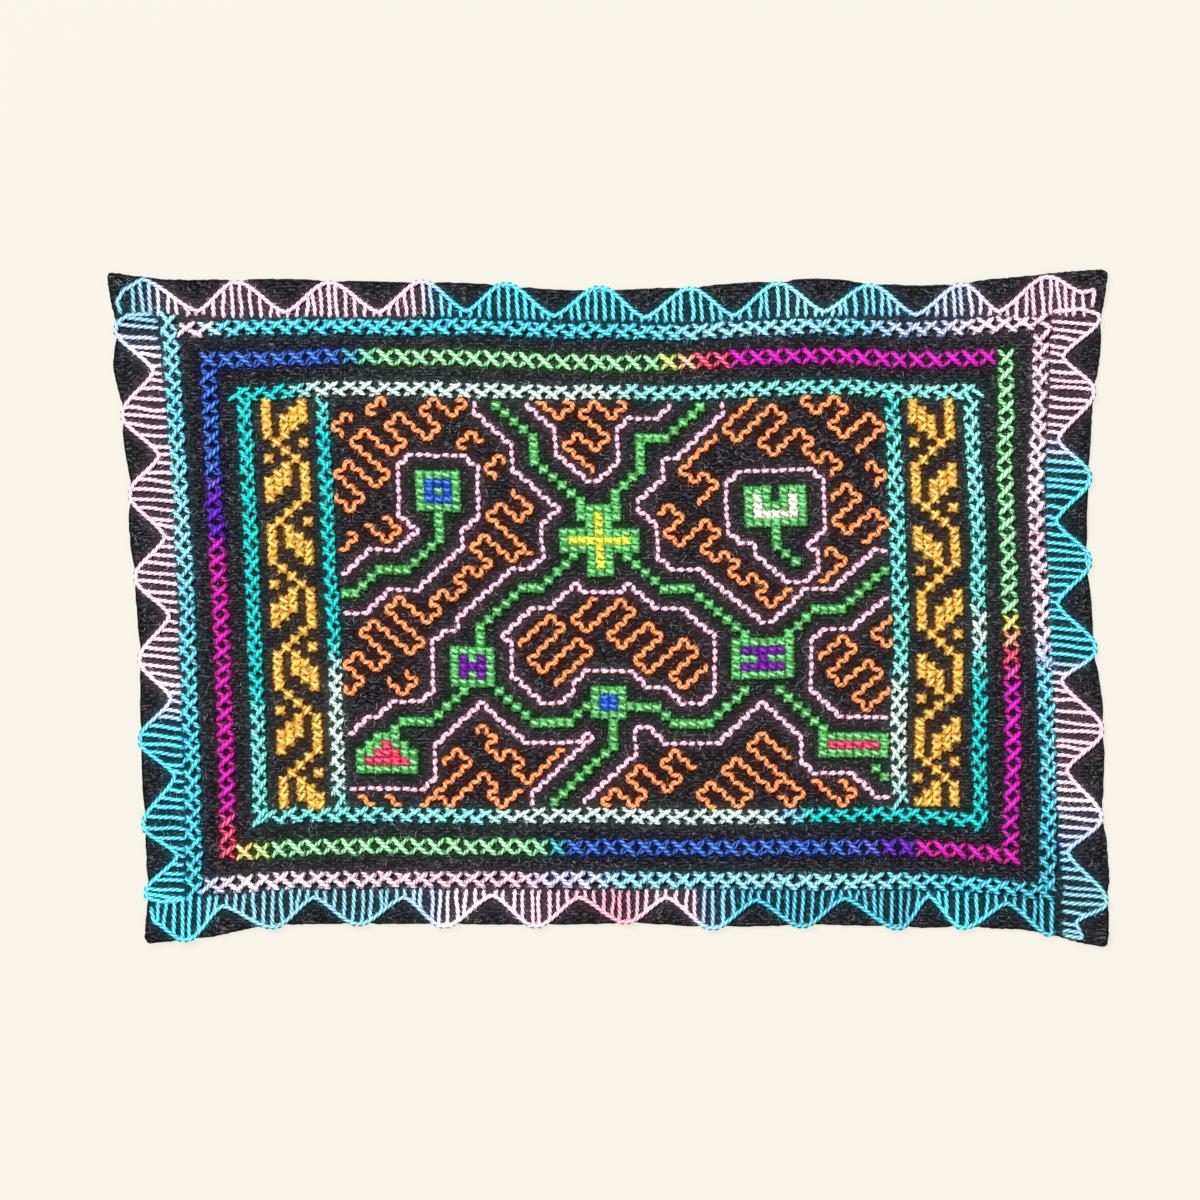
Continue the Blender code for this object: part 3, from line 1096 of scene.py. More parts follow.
def border_edges(inside):
    """The grid edges between cells that are inside and cells that aren't."""
    edges = []
    for i in range(GRID_ALONG):
        for j in range(GRID_DOWN):
            if i + 1 < GRID_ALONG and inside[i, j] != inside[i + 1, j]:
                edges.append(((i + 1, j), (i + 1, j + 1)))
            if j + 1 < GRID_DOWN and inside[i, j] != inside[i, j + 1]:
                edges.append(((i, j + 1), (i + 1, j + 1)))
    return edges


def grid_stitch(thread, edge, radius, colour, turn, trim, taper):
    """One stitch along a grid edge. trim is the share of it that is left off at each end."""
    start = panel_point(*edge[0])
    end = panel_point(*edge[1])
    way = end - start
    start = start + trim * way
    end = end - trim * way
    slips = chance.normal(0, GRID_SLIP, 4)
    stitch(
        thread, start + slips[:2], end + slips[2:], radius, colour, turn, GRID_RINGS,
        bow=chance.normal(0, GRID_BOW_SLIP), taper=taper, reach=0.45,
    )


# The meander: lines of stair steps three grid lines apart, joined by turns at alternate ends

MEANDER_PITCH = 3
FINGER_GAP = 2
SHIFT_STEP = 2
STAGGER = 1.6
STAGGER_STEP = 1.7
JOIN_TRIES = 3

# What the meander is tried with in turn: the columns (lengths of its fingers, fewest stitches)
MEANDER_ROUNDS = (((7, 9), 5), ((5,), 4), ((3,), 3))


def crossings_free(field, gap):
    """Grid crossings whose four cells are all at least the gap away from the green."""
    far = np.pad(field > gap, 1, constant_values=True)
    return far[:-1, :-1] & far[1:, :-1] & far[:-1, 1:] & far[1:, 1:]


def islands(free):
    """Numbers the connected groups of free crossings from 1."""
    group = np.zeros(free.shape, int)
    count = 0
    for first in zip(*np.nonzero(free)):
        if group[first]:
            continue
        count += 1
        waiting = [first]
        group[first] = count
        while waiting:
            i, j = waiting.pop()
            for near in ((i + 1, j), (i - 1, j), (i, j + 1), (i, j - 1)):
                inside = 0 <= near[0] < free.shape[0] and 0 <= near[1] < free.shape[1]
                if inside and free[near] and not group[near]:
                    group[near] = count
                    waiting.append(near)
    return group


def meander_edges(free, flipped, shift, finger):
    """Edges of a meander that fills the free crossings with fingers of one length."""
    def crossing(a, b):
        column = (a + b) // 2
        row = (a - b) // 2
        return (GRID_ALONG - column if flipped else column), row

    def is_free(a, b):
        column, row = crossing(a, b)
        return 0 <= column <= GRID_ALONG and 0 <= row <= GRID_DOWN and free[column, row]

    def line_b(a, k):
        return MEANDER_PITCH * k - (a - MEANDER_PITCH * k) % 2

    def free_runs(k, low, high):
        """The free stretches of one line between two places along it."""
        runs = []
        run = []
        for a in range(low, high + 2):
            if a <= high and is_free(a, line_b(a, k)):
                run.append(a)
            elif run:
                runs.append([run[0], run[-1]])
                run = []
        return [run for run in runs if run[1] > run[0]]

    edges = []
    span = GRID_ALONG + GRID_DOWN + 2
    period = finger + FINGER_GAP
    for band in range(-1, span // period + 2):
        lines = {}
        for k in range(-span // MEANDER_PITCH, span // MEANDER_PITCH + 1):
            low = band * period + shift + int(STAGGER * np.sin(k * STAGGER_STEP + band))
            lines[k] = free_runs(k, low, low + finger)
        for k in sorted(lines):
            for run in lines[k]:
                for other in lines.get(k + 1, []):
                    edges += join_runs(run, other, k, is_free)
        for k, runs in lines.items():
            for low, high in runs:
                edges += [((a, line_b(a, k)), (a + 1, line_b(a + 1, k))) for a in range(low, high)]
    return [(crossing(*start), crossing(*end)) for start, end in edges]


def join_runs(run, other, k, is_free):
    """Trims two neighbouring lines to a common end, and gives the turn that joins them there."""
    base = MEANDER_PITCH * k
    if min(run[1], other[1]) - max(run[0], other[0]) < 2:
        return []
    if k % 2 == 0:
        side, way, end = 1, -1, min(run[1], other[1] + 1)
    else:
        side, way, end = 0, 1, max(run[0], other[0] - 1)
    end += way * ((end - base) % 2)
    for _ in range(JOIN_TRIES):
        joins = ((end, base), (end + way, base + 1), (end, base + 2), (end + way, base + 3))
        if all(is_free(*join) for join in joins):
            run[side] = end
            other[side] = end + way
            return [(joins[n], joins[n + 1]) for n in range(3)]
        end += 2 * way
        if (run[1 - side] - end) * way < 2:
            break
    return []


def long_enough(edges, least):
    """Only the edges that belong to connected lines of at least so many edges."""
    touching = {}
    for edge in edges:
        for point in edge:
            touching.setdefault(point, []).append(edge)
    kept = []
    seen = set()
    for edge in edges:
        if edge in seen:
            continue
        group = [edge]
        seen.add(edge)
        for member in group:
            for point in member:
                for other in touching[point]:
                    if other not in seen:
                        seen.add(other)
                        group.append(other)
        if len(group) >= least:
            kept += group
    return kept


def fullest_meander(part, fingers, least):
    """The meander with the most stitches out of several finger lengths, shifts and slants."""
    best = []
    for flipped in (False, True):
        for finger in fingers:
            for shift in range(0, finger + FINGER_GAP, SHIFT_STEP):
                own = meander_edges(part, flipped, shift, finger)
                own = sorted({(min(start, end), max(start, end)) for start, end in own})
                own = long_enough(own, least)
                if len(own) > len(best):
                    best = own
    return best


def meander(field):
    """The meander's edges: long fingers first, then short ones where there is room left."""
    free = crossings_free(field, PINK_GAP)
    edges = set()
    for fingers, least in MEANDER_ROUNDS:
        group = islands(free)
        for number in range(1, group.max() + 1):
            edges |= set(fullest_meander(group == number, fingers, least))
        for edge in edges:
            for column, row in edge:
                free[max(column - 1, 0):column + 2, max(row - 1, 0):row + 2] = False
    return edges


# Counted crosses in the green and in the blocks: the columns (half their width in cells, height
# that they are raised by)
GREEN_CROSSES = (0.40, 0.0)
BLOCK_CROSSES = (0.48, 0.45)
COUNTED_RADIUS = 0.96
COUNTED_TURN = 6.0
COUNTED_SLIP = 0.08
COUNTED_TONES = (0.8, 1.12)

OUTLINE_RADIUS = 0.76
OUTLINE_TURN = 4.5
OUTLINE_TRIM = 0.12
OUTLINE_TAPER = 0.55
OUTLINE_TONES = (0.9, 1.05)
# How far each outline stitch darkens towards deep rose at its ends, where it goes into the cloth:
# painted shade
OUTLINE_END_SHADE = 0.7

BEAD_RADIUS = 0.78
BEAD_TURN = 4.0
BEAD_TRIM = 0.0
BEAD_TAPER = 0.6
# Power that shapes the painted shade at each bead's ends
BEAD_END_SHADE_POWER = 1.5
BEAD_TONES = (0.85, 1.08)


def counted_crosses(thread, colours, half, raised):
    """A cross in each cell of a table of cells and their colours."""
    for i, j in sorted(colours):
        low = panel_point(i + 0.5 - half, j + 0.5 + half)
        high = panel_point(i + 0.5 + half, j + 0.5 - half)
        slip = chance.normal(0, COUNTED_SLIP, 2)
        colour = linear(colours[i, j]) * chance.uniform(*COUNTED_TONES)
        cross(
            thread, low + slip, high + slip, COUNTED_RADIUS, colour, COUNTED_TURN, raised=raised
        )


def middle_panel(counted, beads, running):
    """All the counted stitching of the middle panel."""
    green, middles = panel_chart()
    counted_crosses(counted, dict.fromkeys(green, "leaf"), *GREEN_CROSSES)
    counted_crosses(counted, middles, *BLOCK_CROSSES)
    field = near_field(green | set(middles))
    # Painted shade: each outline stitch darkens towards deep rose at its ends
    ends = np.abs(np.linspace(-1, 1, GRID_RINGS))[:, None]
    deep = OUTLINE_END_SHADE * ends**2
    for edge in border_edges(field < PINK_GAP):
        colour = linear("pink") * chance.uniform(*OUTLINE_TONES) * (1 - deep)
        colour = colour + deep * linear("deep_rose")
        grid_stitch(
            running, edge, OUTLINE_RADIUS, colour, OUTLINE_TURN, OUTLINE_TRIM, OUTLINE_TAPER
        )
    # Painted shade: each bead darkens from apricot to orange at its ends
    deep = ends**BEAD_END_SHADE_POWER
    for edge in sorted(meander(field)):
        colour = linear("apricot") * (1 - deep) + linear("orange") * deep
        colour = colour * chance.uniform(*BEAD_TONES)
        grid_stitch(beads, edge, BEAD_RADIUS, colour, BEAD_TURN, BEAD_TRIM, BEAD_TAPER)


# Loose fibres: thin curved ribbons standing a little off the cloth or out of the threads

RIBBON_POINTS = 4
RIBBON_TAPER = np.array([0.7, 1.0, 0.9, 0.4])
RIBBON_CLEARANCE = 0.06

# Hairs of the cloth and of the threads, with the ranges of their lengths and rises
CLOTH_HAIRS = 12000
CLOTH_HAIR_WIDTH = 0.09
CLOTH_HAIR_LENGTHS = (0.5, 1.9)
CLOTH_HAIR_RISES = (0.03, 0.35)
CLOTH_HAIR_CURL = 0.9
CLOTH_HAIR_SHADES = (0.06, 0.34)
CLOTH_HAIR_TINT = np.array([1.0, 1.02, 1.06])
CLOTH_HAIR_HEIGHT = 0.1
HAIR_HALF_LENGTH = 149
HAIR_HALF_WIDTH = 100
HAIR_MARGIN = 1.2
THREAD_HAIRS = 14000
THREAD_HAIR_WIDTH = 0.07
THREAD_HAIR_LENGTHS = (0.5, 1.7)
THREAD_HAIR_RISES = (0.0, 0.4)
THREAD_HAIR_DROOPS = (0.0, 1.0)
THREAD_HAIR_CURL = 0.8
THREAD_HAIR_SHADE = 0.9
THREAD_HAIR_HEIGHT = 0.3


def fibre_ribbons(name, starts, headings, curls, lengths, width, rise, droop, colours):
    """Thin tapering ribbons, joined into one mesh. starts are points in mm."""
    steps = np.linspace(0, 1, RIBBON_POINTS)
    count = len(starts)
    heading = headings[:, None] + curls[:, None] * (steps - 0.5) * 2
    way = np.stack([np.cos(heading), np.sin(heading)], axis=2)
    flat = np.cumsum(way, axis=1) - way[:, :1]
    path = starts[:, None, :2] + flat * (lengths / (RIBBON_POINTS - 1))[:, None, None]
    lift_by = rise[:, None] * np.sin(np.pi * steps) - droop[:, None] * steps
    z = starts[:, 2, None] + lift_by
    z = np.maximum(z, cloth_top(path[..., 0], path[..., 1]) + RIBBON_CLEARANCE)
    taper = width / 2 * RIBBON_TAPER
    aside = np.stack([-way[..., 1], way[..., 0]], axis=2) * taper[None, :, None]
    left = np.concatenate([path + aside, z[..., None]], axis=2)
    right = np.concatenate([path - aside, z[..., None]], axis=2)
    points = np.concatenate([left, right], axis=1).reshape(-1, 3)
    ring = np.arange(RIBBON_POINTS - 1)
    quad = np.column_stack([ring, ring + RIBBON_POINTS, ring + RIBBON_POINTS + 1, ring + 1])
    quads = (quad[None] + 2 * RIBBON_POINTS * np.arange(count)[:, None, None]).reshape(-1, 4)
    return mesh_object(name, points, [quads], np.repeat(colours, 2 * RIBBON_POINTS, axis=0))


def cloth_fibres():
    """Short pale hairs scattered all over the cloth."""
    x = chance.uniform(-HAIR_HALF_LENGTH, HAIR_HALF_LENGTH, CLOTH_HAIRS)
    y = chance.uniform(-HAIR_HALF_WIDTH, HAIR_HALF_WIDTH, CLOTH_HAIRS)
    keep = edge_distance(x, y) > HAIR_MARGIN
    x, y = x[keep], y[keep]
    count = len(x)
    starts = np.column_stack([x, y, cloth_top(x, y) + CLOTH_HAIR_HEIGHT])
    colours = chance.uniform(*CLOTH_HAIR_SHADES, count)[:, None] * CLOTH_HAIR_TINT
    return fibre_ribbons(
        "cloth_fibres", starts, chance.uniform(0, 2 * np.pi, count),
        chance.normal(0, CLOTH_HAIR_CURL, count), chance.uniform(*CLOTH_HAIR_LENGTHS, count),
        CLOTH_HAIR_WIDTH, chance.uniform(*CLOTH_HAIR_RISES, count), np.zeros(count), colours,
    )


def thread_fibres(threads):
    """Fine hairs of the threads' own colours, standing out of them."""
    points = all_points(threads)
    colours = np.concatenate([np.concatenate(thread.colours) for thread in threads])
    exposed = points[:, 2] > cloth_top(points[:, 0], points[:, 1]) + THREAD_HAIR_HEIGHT
    points, colours = points[exposed], colours[exposed]
    count = THREAD_HAIRS
    pick = chance.choice(len(points), count, replace=False)
    return fibre_ribbons(
        "thread_fibres", points[pick], chance.uniform(0, 2 * np.pi, count),
        chance.normal(0, THREAD_HAIR_CURL, count), chance.uniform(*THREAD_HAIR_LENGTHS, count),
        THREAD_HAIR_WIDTH, chance.uniform(*THREAD_HAIR_RISES, count),
        chance.uniform(*THREAD_HAIR_DROOPS, count), colours[pick] * THREAD_HAIR_SHADE,
    )


# The cloth itself

SHADE_REACH = 1.5
FULL_COVER = 92
POINTS_ACROSS = CELLS_ACROSS + 1
RAGGED_STEP = 0.05
RAGGED_MOST = 0.22
RAGGED_NOISE = 0.07


def blurred(layer):
    """A map on the height grid, blurred over SHADE_REACH."""
    across = np.fft.fftfreq(layer.shape[0], MAP_STEP)[:, None]
    along = np.fft.rfftfreq(layer.shape[1], MAP_STEP)[None, :]
    spread = np.exp(-2 * (np.pi * SHADE_REACH) ** 2 * (across**2 + along**2))
    return np.fft.irfft2(np.fft.rfft2(layer) * spread, s=layer.shape)


def thread_cover(threads):
    """Maps of how much thread lies near each place on the cloth, and of its colour: the cloth's painted
    shade and painted reflected colour near the stitches.
    """
    points = all_points(threads)
    colours = np.concatenate([np.concatenate(thread.colours) * thread.painted_bounce for thread in threads])
    i = np.clip(np.rint((points[:, 0] - MAP_X[0]) / MAP_STEP).astype(int), 0, len(MAP_X) - 1)
    j = np.clip(np.rint((points[:, 1] - MAP_Y[0]) / MAP_STEP).astype(int), 0, len(MAP_Y) - 1)
    place = i * len(MAP_Y) + j
    size = len(MAP_X) * len(MAP_Y)
    layers = [
        blurred(np.bincount(place, weight, size).reshape(MAP_HEIGHT.shape))
        for weight in (np.ones(len(place)), *colours.T)
    ]
    cover = np.clip(layers[0] / np.percentile(layers[0], FULL_COVER), 0, 1)
    bounce_tints = [cover * layer / np.maximum(layers[0], TINY) for layer in layers[1:]]
    return cover, bounce_tints


def crowded(cells):
    """Fractions from 0 to 1, closer together towards both ends."""
    t = np.linspace(0, 1, cells + 1)
    return t - EDGE_CROWDING * np.sin(2 * np.pi * t) / (2 * np.pi)


def side_point(rows, peaks, fraction):
    """Place along a side and inset there, at a fraction of the way between its corners."""
    place = rows[0][0] + fraction * (rows[-1][0] - rows[0][0])
    return place, inset(rows, peaks, place)


def cloth_grid():
    """Where the cloth's grid points lie seen from above, blended from its four sides."""
    u, v = np.meshgrid(crowded(CELLS_ALONG), crowded(CELLS_ACROSS), indexing="ij")
    top_x, top_in = side_point(TOP_SIDE, TOP_PEAKS, u)
    bottom_x, bottom_in = side_point(BOTTOM_SIDE, BOTTOM_PEAKS, u)
    left_y, left_in = side_point(LEFT_SIDE, LEFT_PEAKS, v)
    right_y, right_in = side_point(RIGHT_SIDE, RIGHT_PEAKS, v)

    # The corners' share, which the blend of facing sides counts twice, is taken off once
    def corner_blend(bottom_left, bottom_right, top_left, top_right):
        bottom = bottom_left * (1 - u) + bottom_right * u
        top = top_left * (1 - u) + top_right * u
        return bottom * (1 - v) + top * v

    corner_x = corner_blend(BOTTOM_SIDE[0][0], BOTTOM_SIDE[-1][0], TOP_SIDE[0][0], TOP_SIDE[-1][0])
    corner_y = corner_blend(LEFT_SIDE[0][0], RIGHT_SIDE[0][0], LEFT_SIDE[-1][0], RIGHT_SIDE[-1][0])
    left_x = left_in - LENGTH / 2
    right_x = LENGTH / 2 - right_in
    bottom_y = bottom_in - WIDTH / 2
    top_y = WIDTH / 2 - top_in
    x = bottom_x * (1 - v) + top_x * v + left_x * (1 - u) + right_x * u - corner_x
    y = bottom_y * (1 - v) + top_y * v + left_y * (1 - u) + right_y * u - corner_y
    return round_corners(x, y, u, v)


def round_corners(x, y, u, v):
    """Draws the points near each corner in on the diagonal."""
    for at_right in (False, True):
        for at_top in (False, True):
            from_side = (1 - u if at_right else u) * LENGTH
            from_end = (1 - v if at_top else v) * WIDTH
            a = np.clip(1 - from_side / CORNER_RADIUS, 0, 1)
            b = np.clip(1 - from_end / CORNER_RADIUS, 0, 1)
            x = x + CORNER_RADIUS * a * (1 - np.sqrt(1 - b * b / 2)) * (-1 if at_right else 1)
            y = y + CORNER_RADIUS * b * (1 - np.sqrt(1 - a * a / 2)) * (-1 if at_top else 1)
    return np.column_stack([x.ravel(), y.ravel()])


def edge_loop():
    """The grid's outer points, in order from the lower left corner round to it again."""
    last_column = CELLS_ALONG * POINTS_ACROSS
    return np.concatenate([
        np.arange(CELLS_ALONG) * POINTS_ACROSS,
        last_column + np.arange(CELLS_ACROSS),
        last_column + CELLS_ACROSS - np.arange(CELLS_ALONG) * POINTS_ACROSS,
        CELLS_ACROSS - np.arange(CELLS_ACROSS),
    ])


def cloth_sheet(threads):
    """One closed sheet: its top, its underside with the turned hem, and a rounded folded edge."""
    flat = cloth_grid()
    loop = edge_loop()
    edge = flat[loop]
    forward = np.roll(edge, -1, axis=0) - np.roll(edge, 1, axis=0)
    outward = np.column_stack([forward[:, 1], -forward[:, 0]])
    outward /= np.linalg.norm(outward, axis=1)[:, None]
    flat[loop] = edge - outward * EDGE_BULGE
    ragged = np.cumsum(chance.normal(0, RAGGED_STEP, len(loop)))
    ragged -= np.linspace(0, ragged[-1], len(loop))
    ragged = np.clip(ragged, -RAGGED_MOST, RAGGED_MOST) + chance.normal(0, RAGGED_NOISE, len(loop))
    flat[loop] += outward * ragged[:, None]

    # Rings bulge outward round the edge, from the top to the underside
    high = cloth_top(flat[:, 0], flat[:, 1])
    low = underside(flat[:, 0], flat[:, 1])
    count = len(flat)
    points = [np.column_stack([flat, high]), np.column_stack([flat, low])]
    rings = [loop]
    for ring in range(1, EDGE_RINGS):
        angle = np.pi * ring / EDGE_RINGS
        out = flat[loop] + outward * (EDGE_BULGE * np.sin(angle))
        height = (high[loop] + low[loop]) / 2 + (high[loop] - low[loop]) / 2 * np.cos(angle)
        points.append(np.column_stack([out, height]))
        rings.append(2 * count + (ring - 1) * len(loop) + np.arange(len(loop)))
    rings.append(loop + count)
    points = np.concatenate(points)

    i, j = np.meshgrid(np.arange(CELLS_ALONG), np.arange(CELLS_ACROSS), indexing="ij")
    corner = (i * POINTS_ACROSS + j).ravel()
    over = np.column_stack([corner, corner + POINTS_ACROSS, corner + POINTS_ACROSS + 1, corner + 1])
    under = over[:, ::-1] + count
    walls = [
        np.column_stack([upper, lower, np.roll(lower, -1), np.roll(upper, -1)])
        for upper, lower in zip(rings[:-1], rings[1:])
    ]
    # The thread cover goes to the cloth as painted shade, in the first part of its fibre attribute, and
    # the threads' colour near it as painted reflected light, in its thread colour
    cover, bounce_tints = thread_cover(threads)
    x, y = points[:, 0], points[:, 1]
    bounce_tint = np.stack([read_map(layer, x, y) for layer in bounce_tints], axis=1)
    shade = np.stack([read_map(cover, x, y), 0 * x, 0 * x], axis=1)
    return mesh_object("black_cloth", points, [over, under, np.concatenate(walls)], bounce_tint, shade)


# Materials

class Nodes:
    """A material's nodes, with short calls for the ones used here."""

    def __init__(self, name, roughness, sheen, sheen_roughness, specular):
        self.material = bpy.data.materials.new(name)
        self.material.use_nodes = True
        self.tree = self.material.node_tree
        self.shader = self.tree.nodes["Principled BSDF"]
        self.shader.inputs["Roughness"].default_value = roughness
        self.shader.inputs["Sheen Weight"].default_value = sheen
        self.shader.inputs["Sheen Roughness"].default_value = sheen_roughness
        self.shader.inputs["Specular IOR Level"].default_value = specular

    def add(self, kind, **values):
        node = self.tree.nodes.new(kind)
        for name, value in values.items():
            setattr(node, name, value)
        return node

    def link(self, source, target):
        self.tree.links.new(source, target)

    def fill(self, socket, value):
        if isinstance(value, (int, float, tuple)):
            socket.default_value = value
        else:
            self.link(value, socket)

    def math(self, operation, first, second=None, third=None):
        node = self.add("ShaderNodeMath", operation=operation)
        for socket, value in zip(node.inputs, (first, second, third)):
            if value is not None:
                self.fill(socket, value)
        return node.outputs[0]

    def attribute(self, name, output):
        return self.add("ShaderNodeAttribute", attribute_name=name).outputs[output]

    def parts(self, vector):
        node = self.add("ShaderNodeSeparateXYZ")
        self.link(vector, node.inputs[0])
        return node.outputs

    def noise(self, vector, scale=1.0, detail=2.0, rough=0.5, output="Fac"):
        node = self.add("ShaderNodeTexNoise")
        self.link(vector, node.inputs["Vector"])
        node.inputs["Scale"].default_value = scale
        node.inputs["Detail"].default_value = detail
        node.inputs["Roughness"].default_value = rough
        return node.outputs[output]

    def scaled(self, vector, scale):
        node = self.add("ShaderNodeMapping")
        self.link(vector, node.inputs["Vector"])
        node.inputs["Scale"].default_value = scale
        return node.outputs["Vector"]

    def remap(self, value, low, high, to_low, to_high):
        node = self.add("ShaderNodeMapRange")
        self.link(value, node.inputs["Value"])
        names = ("From Min", "From Max", "To Min", "To Max")
        for name, number in zip(names, (low, high, to_low, to_high)):
            node.inputs[name].default_value = number
        return node.outputs["Result"]

    def gamma(self, colour, power):
        node = self.add("ShaderNodeGamma")
        self.link(colour, node.inputs["Color"])
        node.inputs["Gamma"].default_value = power
        return node.outputs["Color"]

    def mix(self, share, first, second, blend="MIX"):
        node = self.add("ShaderNodeMix", data_type="RGBA", blend_type=blend)
        self.fill(node.inputs[0], share)
        self.fill(node.inputs[6], first)
        self.fill(node.inputs[7], second)
        return node.outputs[2]

    def bump(self, height, strength, distance):
        node = self.add("ShaderNodeBump")
        self.link(height, node.inputs["Height"])
        node.inputs["Strength"].default_value = strength
        node.inputs["Distance"].default_value = distance
        self.link(node.outputs["Normal"], self.shader.inputs["Normal"])


# Looks of thread: the columns (painted shade between its plies, power that its colour is raised to
# for the painted highlight on top, breadth of that painted highlight)
THREAD_LOOKS = {
    "rope_thread": (0.6, 0.36, 0.0),
    "twisted_thread": (0.66, 0.46, 0.06),
    "plump_thread": (0.6, 0.52, 0.0),
}

# Fine fibres and slubs along a thread. Scales are per mm, and the bump is in metres.
LINES_SCALE = (0.9, 4.5, 4.5)
LINES_SHARE = 0.34
LINES_BUMP = 0.0002
SLUBS_SCALE = (0.6, 0.8, 0.8)
SLUBS_SHARE = 0.14
# Painted shade low on the thread's sides and between its plies: its colour raised to a power and
# darkened
PAINTED_SHADE_POWER = 1.5
PAINTED_SHADE_TINT = (0.34, 0.34, 0.34, 1)

# Ranges, here and for the cloth: the columns (from lowest, from highest, to lowest, to highest)
SPECKLE_RANGE = (0.3, 0.7, -0.5, 0.5)
# How the painted light is spread between the painted shade and the thread's own colour
BODY_RANGE = (0.12, 0.64, 0.0, 1.0)


def thread_material(name, ply_share, highlight_power, highlight_breadth):
    """Soft spun thread. Its colour comes with the mesh, with painted shade low on its sides and between
    its plies, and a painted highlight on top, with fine fibres along it. Its last argument is how
    broad that painted highlight is."""
    nodes = Nodes(name, roughness=0.5, sheen=0.1, sheen_roughness=0.4, specular=0.3)
    colour = nodes.attribute("thread", "Color")
    fibre = nodes.attribute("fibre", "Vector")
    lines = nodes.noise(nodes.scaled(fibre, LINES_SCALE), detail=3.0, rough=0.6)
    slubs = nodes.noise(nodes.scaled(fibre, SLUBS_SCALE))

    # The cosine of three times the angle round the thread is 1 on each ply's crest, and lower between
    # the plies, where shade is painted
    split = nodes.parts(fibre)
    square = [nodes.math("MULTIPLY", part, part) for part in split[1:3]]
    radius = nodes.math("SQRT", nodes.math("ADD", square[0], square[1]))
    turned = nodes.math("DIVIDE", split[1], nodes.math("MAXIMUM", radius, 0.01))
    cubed = nodes.math("MULTIPLY", nodes.math("MULTIPLY", turned, turned), turned)
    crest = nodes.math("MULTIPLY_ADD", turned, -3.0, nodes.math("MULTIPLY", cubed, 4.0))
    ply = nodes.remap(crest, -1.0, 1.0, 1.0 - ply_share, 1.0)

    # Painted light: lighter where the thread faces up, darker on its sides
    upward = nodes.parts(nodes.add("ShaderNodeNewGeometry").outputs["Normal"])[2]
    painted_facing_light = nodes.remap(upward, 0.2 - highlight_breadth / 2, 0.97 - highlight_breadth, 0.05, 1.0)
    painted_light_and_speckle = nodes.math("MULTIPLY", ply, painted_facing_light)
    for speckle, share in ((lines, LINES_SHARE), (slubs, SLUBS_SHARE)):
        painted_light_and_speckle = nodes.math("MULTIPLY_ADD", nodes.remap(speckle, *SPECKLE_RANGE), share, painted_light_and_speckle)
    # Painted shade in the deep colour, and a painted highlight in the pale one on top
    deep = nodes.mix(1.0, nodes.gamma(colour, PAINTED_SHADE_POWER), PAINTED_SHADE_TINT, "MULTIPLY")
    body = nodes.mix(nodes.remap(painted_light_and_speckle, *BODY_RANGE), deep, colour)
    pale = nodes.gamma(colour, highlight_power)
    shaded = nodes.mix(nodes.remap(painted_light_and_speckle, 0.6 - highlight_breadth, 1.0 - highlight_breadth / 2, 0.0, 1.0), body, pale)
    nodes.link(shaded, nodes.shader.inputs["Base Color"])
    nodes.bump(lines, 0.5, LINES_BUMP)
    return nodes.material


# The weave. Its pitch is in mm, its bump and drift in metres, and the scales are per metre.
WEAVE_PITCH = 0.95
WEAVE_SCALE = (1 / (WEAVE_PITCH * MM),) * 3
WEAVE_BUMP = 0.0004
WARP_HEIGHT = 0.7
WEFT_STRETCH = 0.55
DRIFT_SCALE = 70.0
DRIFT = (0.0016, 0.0016, 0.0)
FUZZ_SCALE = 1300.0
PATCH_SCALE = 40.0
FUZZ_RANGE = (0.4, 0.62, 0.0, 1.0)
PATCH_RANGE = (0.35, 0.7, 0.0, 0.4)
CREST_RANGE = (0.1, 0.8, 0.0, 1.0)

# Pale flecks: the columns (scale, range), for those along the cloth and those up it
FLECKS_ALONG = ((420.0, 1700.0, 900.0), (0.56, 0.74, 0.0, 1.0))
FLECKS_UP = ((1600.0, 700.0, 900.0), (0.6, 0.78, 0.0, 0.8))
FLECK_SHARE = 0.7

# The first colour is painted shade in the weave's hollows between its threads
HOLLOW_SHADE_COLOUR = (0.0015, 0.0015, 0.002, 1)
CREST_COLOUR = (0.038, 0.040, 0.050, 1)
WARM_COLOUR = (0.010, 0.008, 0.008, 1)
FLECK_COLOUR = (0.150, 0.155, 0.180, 1)
# Painted shade close to the stitches
SHADOW_COLOUR = (0.002, 0.002, 0.002, 1)
SHADOW_SHARE = 0.72
BLACK = (0.0, 0.0, 0.0, 1)
# A little of the threads' colour, painted onto the cloth as reflected light
BOUNCE_LIGHT_SHARE = 0.06
BOUNCE_LIGHT_POWER = 1.2


